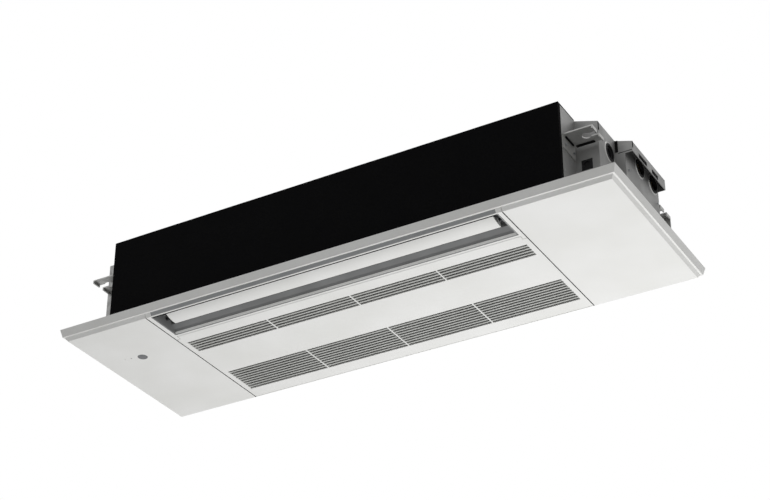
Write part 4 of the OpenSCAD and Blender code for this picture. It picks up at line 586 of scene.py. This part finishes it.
# Fins 0.6 mm thick and 2 mm apart, where real ones are 0.1 and 1.4 mm, so that they show and
# catch as much light as the many thin ones do
fin_pitch, fin_t, fin_shy, fin_round, first_fin = 2.0, 0.6, 0.6, 0.1, 0.5
coil_y, coil_z, coil_lean, coil_w, coil_t = 49.65, 100.0, 35.9, 200.4, 26.0
fin_x0, fin_x1 = [corner[0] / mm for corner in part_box("coil_fins")]
fin_places = [(fin_x0 + first_fin + fin_pitch * i, coil_y, coil_z)
              for i in range(int((fin_x1 - fin_x0 - first_fin) / fin_pitch))]
fins = grown("fin_pack", bars, fin_aluminium, fin_places, "unit", Length=fin_t,
             Width=coil_t - fin_shy, Height=coil_w, Fillet=fin_round,
             Turn=(math.radians(coil_lean - 90), 0.0, 0.0))
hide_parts("coil_fins")

# Drawn copper, dulled and browned in patches by handling and brazing
copper = finish("drawn_copper_tube", "c07c56", 0.3, Metallic=1.0)
patches(copper, NOISE, 22 * mm, 0.42, 0.7, tint="8f5438", rough=(0.24, 0.5))
patches(copper, NOISE, 1.5 * mm, 0, 1, height=0.008 * mm)
dress(copper, "coil_tubes", "gas_pipe", "liquid_pipe")
dress(galvanised, "coil_plates")

# Flare unions: forged brass with turned faces. Its colour is painted darker than brass, as painted
# shade for the dark inside of the ports where the unions sit
brass = finish("forged_brass_painted_dark", "9c8048", 0.3, Metallic=1.0)
patches(brass, NOISE, 8 * mm, 0.4, 0.7, tint="7f6637", rough=(0.24, 0.44))
patches(brass, "ShaderNodeTexWave", 0.5 * mm, 0, 1, height=0.01 * mm, wave_type="RINGS",
        rings_direction="X")
dress(brass, "flare_unions")

# Drain: a pan of expanded polystyrene under the coil, a lifting pump with its tube to the drain
# port, and a float that stops the unit when the pan fills.
dress(grey_eps, "drain_pan")
dress(white_nylon, "drain_pump", "pump_impeller", "float_stem", "float_ring")

# The tube is of the same black rubber as the ports' grommets; its black also paints the shade
# inside the drain port
dress(black_rubber_and_shade, "drain_tube")

# Fasteners: plated pan-head screws that hold the panel up, and the brackets, the pipe bay and
# the control box's cover on. The panel's go up into the body's feet.

# Pan heads with a cross recess, each stopped at its own angle
head_r, head_h, cross_w, top_share, head_sides, spin_seed = 4.5, 2.6, 1.1, 0.7, 20, 7
tree, size = shape_tree("pan_head_screws", Head="Float", Rise="Float", Cross="Float",
                        Turn="Vector")
top = add(tree, "ShaderNodeMath", {1: top_share}, {0: size["Head"]},
          operation="MULTIPLY").outputs[0]
head = add(tree, "GeometryNodeMeshCone", {"Vertices": head_sides},
           {"Radius Top": top, "Radius Bottom": size["Head"], "Depth": size["Rise"]}).outputs[0]
blades = []
for order in ("XYZ", "YXZ"):
    blade_size = add(tree, "ShaderNodeCombineXYZ",
                     links={order[0]: size["Head"], order[1]: size["Cross"],
                            order[2]: size["Rise"]}).outputs[0]
    blades.append(add(tree, "GeometryNodeMeshCube", links={"Size": blade_size}).outputs[0])
cross = add(tree, "GeometryNodeJoinGeometry", links={0: blades[0]})
tree.links.new(blades[1], cross.inputs[0])
lift = add(tree, "ShaderNodeCombineXYZ", links={"Z": size["Rise"]}).outputs[0]
cross = add(tree, "GeometryNodeTransform",
            links={"Geometry": cross.outputs[0], "Translation": lift}).outputs[0]
cut = add(tree, "GeometryNodeMeshBoolean", links={"Mesh 1": head, "Mesh 2": cross},
          operation="DIFFERENCE").outputs[0]
placed = on_points(tree, size, cut)
spin = add(tree, "FunctionNodeRandomValue", {"Max": math.tau, "Seed": spin_seed}).outputs["Value"]
spin = add(tree, "ShaderNodeCombineXYZ", links={"Z": spin}).outputs[0]
spin = add(tree, "FunctionNodeEulerToRotation", links={0: spin}).outputs[0]
placed = add(tree, "GeometryNodeRotateInstances", {"Local Space": True},
             {"Instances": placed, "Rotation": spin}).outputs[0]
screws = close_tree(tree, placed)

# The heads' places: in pairs on each bracket's foot and along the edges of the two covers. A head
# faces up unless it is turned
plate_x, bracket_y, bracket_z, pair_half = 494.5, 153.0, 94.0, 50 / 3
panel_x, panel_y, panel_z, bay_low_z, bay_high_z = 483.3, 100.0, -4.0, 16.0, 96.0
cover_in = 12
cover_low, cover_high = [Vector(corner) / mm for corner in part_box("control_box_cover")]
bracket_spots = [(plate_x, y + k, bracket_z) for y in (-bracket_y, bracket_y)
                 for k in (-pair_half, pair_half)]
facing_down, facing_right, facing_left = (math.pi, 0.0, 0.0), upright, (0.0, -quarter, 0.0)
for label, replaced, turn, spots in (
        ("panel_heads", "panel_screws", facing_down,
         [(x, y, panel_z) for x in (-panel_x, panel_x) for y in (-panel_y, panel_y)]),
        ("bracket_heads_right", "sheet_screws", facing_right, bracket_spots),
        ("bracket_heads_left", None, facing_left, [(-x, y, z) for x, y, z in bracket_spots]),
        ("bay_heads_near", None, facing_right,
         [(bay_near_x, y, bay_low_z) for y in (-112.0, -56.0)]),
        ("bay_heads_far", None, facing_right,
         [(bay_far_x, y, z) for y in (-34.0, 96.0) for z in (bay_low_z, bay_high_z)]),
        ("control_heads", None, facing_left,
         [(cover_low.x, y, z) for y in (cover_low.y + cover_in, 0, cover_high.y - cover_in)
          for z in (cover_low.z + cover_in, cover_high.z - cover_in)])):
    heads = grown(label, screws, plated_steel, spots, "unit", Head=head_r, Rise=head_h,
                  Cross=cross_w, Turn=turn)
    if replaced:
        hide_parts(replaced)

# Studio: a pale floor far below, as under a ceiling, a white surround, a broad lamp from low
# behind on the right, another from high up behind, and an even light from all round.


def seen_directly(tree):
    """1 for the camera's rays and for what gloss and clear plastic show, 0 for the rest"""
    path = add(tree, "ShaderNodeLightPath").outputs
    seen = add(tree, "ShaderNodeMath", links={0: path["Is Camera Ray"], 1: path["Is Glossy Ray"]},
               operation="MAXIMUM").outputs[0]
    return add(tree, "ShaderNodeMath", links={0: seen, 1: path["Is Transmission Ray"]},
               operation="MAXIMUM").outputs[0]


# Pale floor paint: flat, with a faint roller texture. It reads as the white surround does, with
# an eighth of its own shading left, which keeps the object's shadow
scene = bpy.context.scene
floor_z, floor_half, white_share = -9.0, 150.0, 0.88
floor_mesh = bpy.data.meshes.new("floor")
floor_mesh.from_pydata([(sx * floor_half, sy * floor_half, floor_z)
                        for sx, sy in ((-1, -1), (1, -1), (1, 1), (-1, 1))], [], [(0, 1, 2, 3)])
floor = bpy.data.objects.new("floor", floor_mesh)
scene.collection.objects.link(floor)
painted_floor = finish("pale_floor_paint", "f4f4f4", 0.8)
patches(painted_floor, NOISE, 400 * mm, 0.3, 0.7, tint="f1f1f1", rough=(0.75, 0.85))
tree = painted_floor["tree"]
glow = add(tree, "ShaderNodeEmission", {"Strength": 1.0}).outputs[0]
share = add(tree, "ShaderNodeMath", {1: white_share}, {0: seen_directly(tree)},
            operation="MULTIPLY").outputs[0]
paint = add(tree, "ShaderNodeMixShader",
            links={0: share, 1: painted_floor["shader"].outputs[0], 2: glow})
tree.links.new(paint.outputs[0], tree.nodes["Material Output"].inputs["Surface"])
floor_mesh.materials.append(painted_floor["material"])

world = bpy.data.worlds.new("studio")
scene.world = world
world.use_nodes = True
tree = world.node_tree
surround = 0.42
strength = add(tree, "ShaderNodeMapRange", {"To Min": surround, "To Max": 1.0},
               {"Value": seen_directly(tree)})
sky = tree.nodes["Background"]
sky.inputs["Color"].default_value = (1, 1, 1, 1)
tree.links.new(strength.outputs[0], sky.inputs["Strength"])


def lamp(name, place, target, size, watts):
    """A square soft lamp that faces its target"""
    light = bpy.data.lights.new(name, "AREA")
    light.shape = "SQUARE"
    light.size = size
    light.energy = watts
    lit = bpy.data.objects.new(name, light)
    lit.location = place
    lit.rotation_euler = (Vector(target) - Vector(place)).to_track_quat("-Z", "Y").to_euler()
    scene.collection.objects.link(lit)


lamp("low_rear_lamp", place=(0.5, 0.8, -1.8), target=(0.25, 0, 0), size=1.2, watts=25)
lamp("high_lamp", place=(0, 0.6, 2.5), target=(0, 0, 0), size=2, watts=24)
scene.view_settings.view_transform = "Standard"

# Camera: below the ceiling, to the right of the front, with a long lens
sight = Vector((0.025, 0, 0.1054))
turn, rise, away = math.radians(29.98), math.radians(-31.14), 3.752
back = Vector((math.sin(turn) * math.cos(rise), -math.cos(turn) * math.cos(rise), math.sin(rise)))
camera = bpy.data.objects.new("camera", bpy.data.cameras.new("camera"))
camera.data.sensor_width = 36
camera.data.lens = 89.77
camera.data.clip_end = 500
camera.location = sight + back * away
camera.rotation_euler = (-back).to_track_quat("-Z", "Y").to_euler()
scene.collection.objects.link(camera)
scene.camera = camera
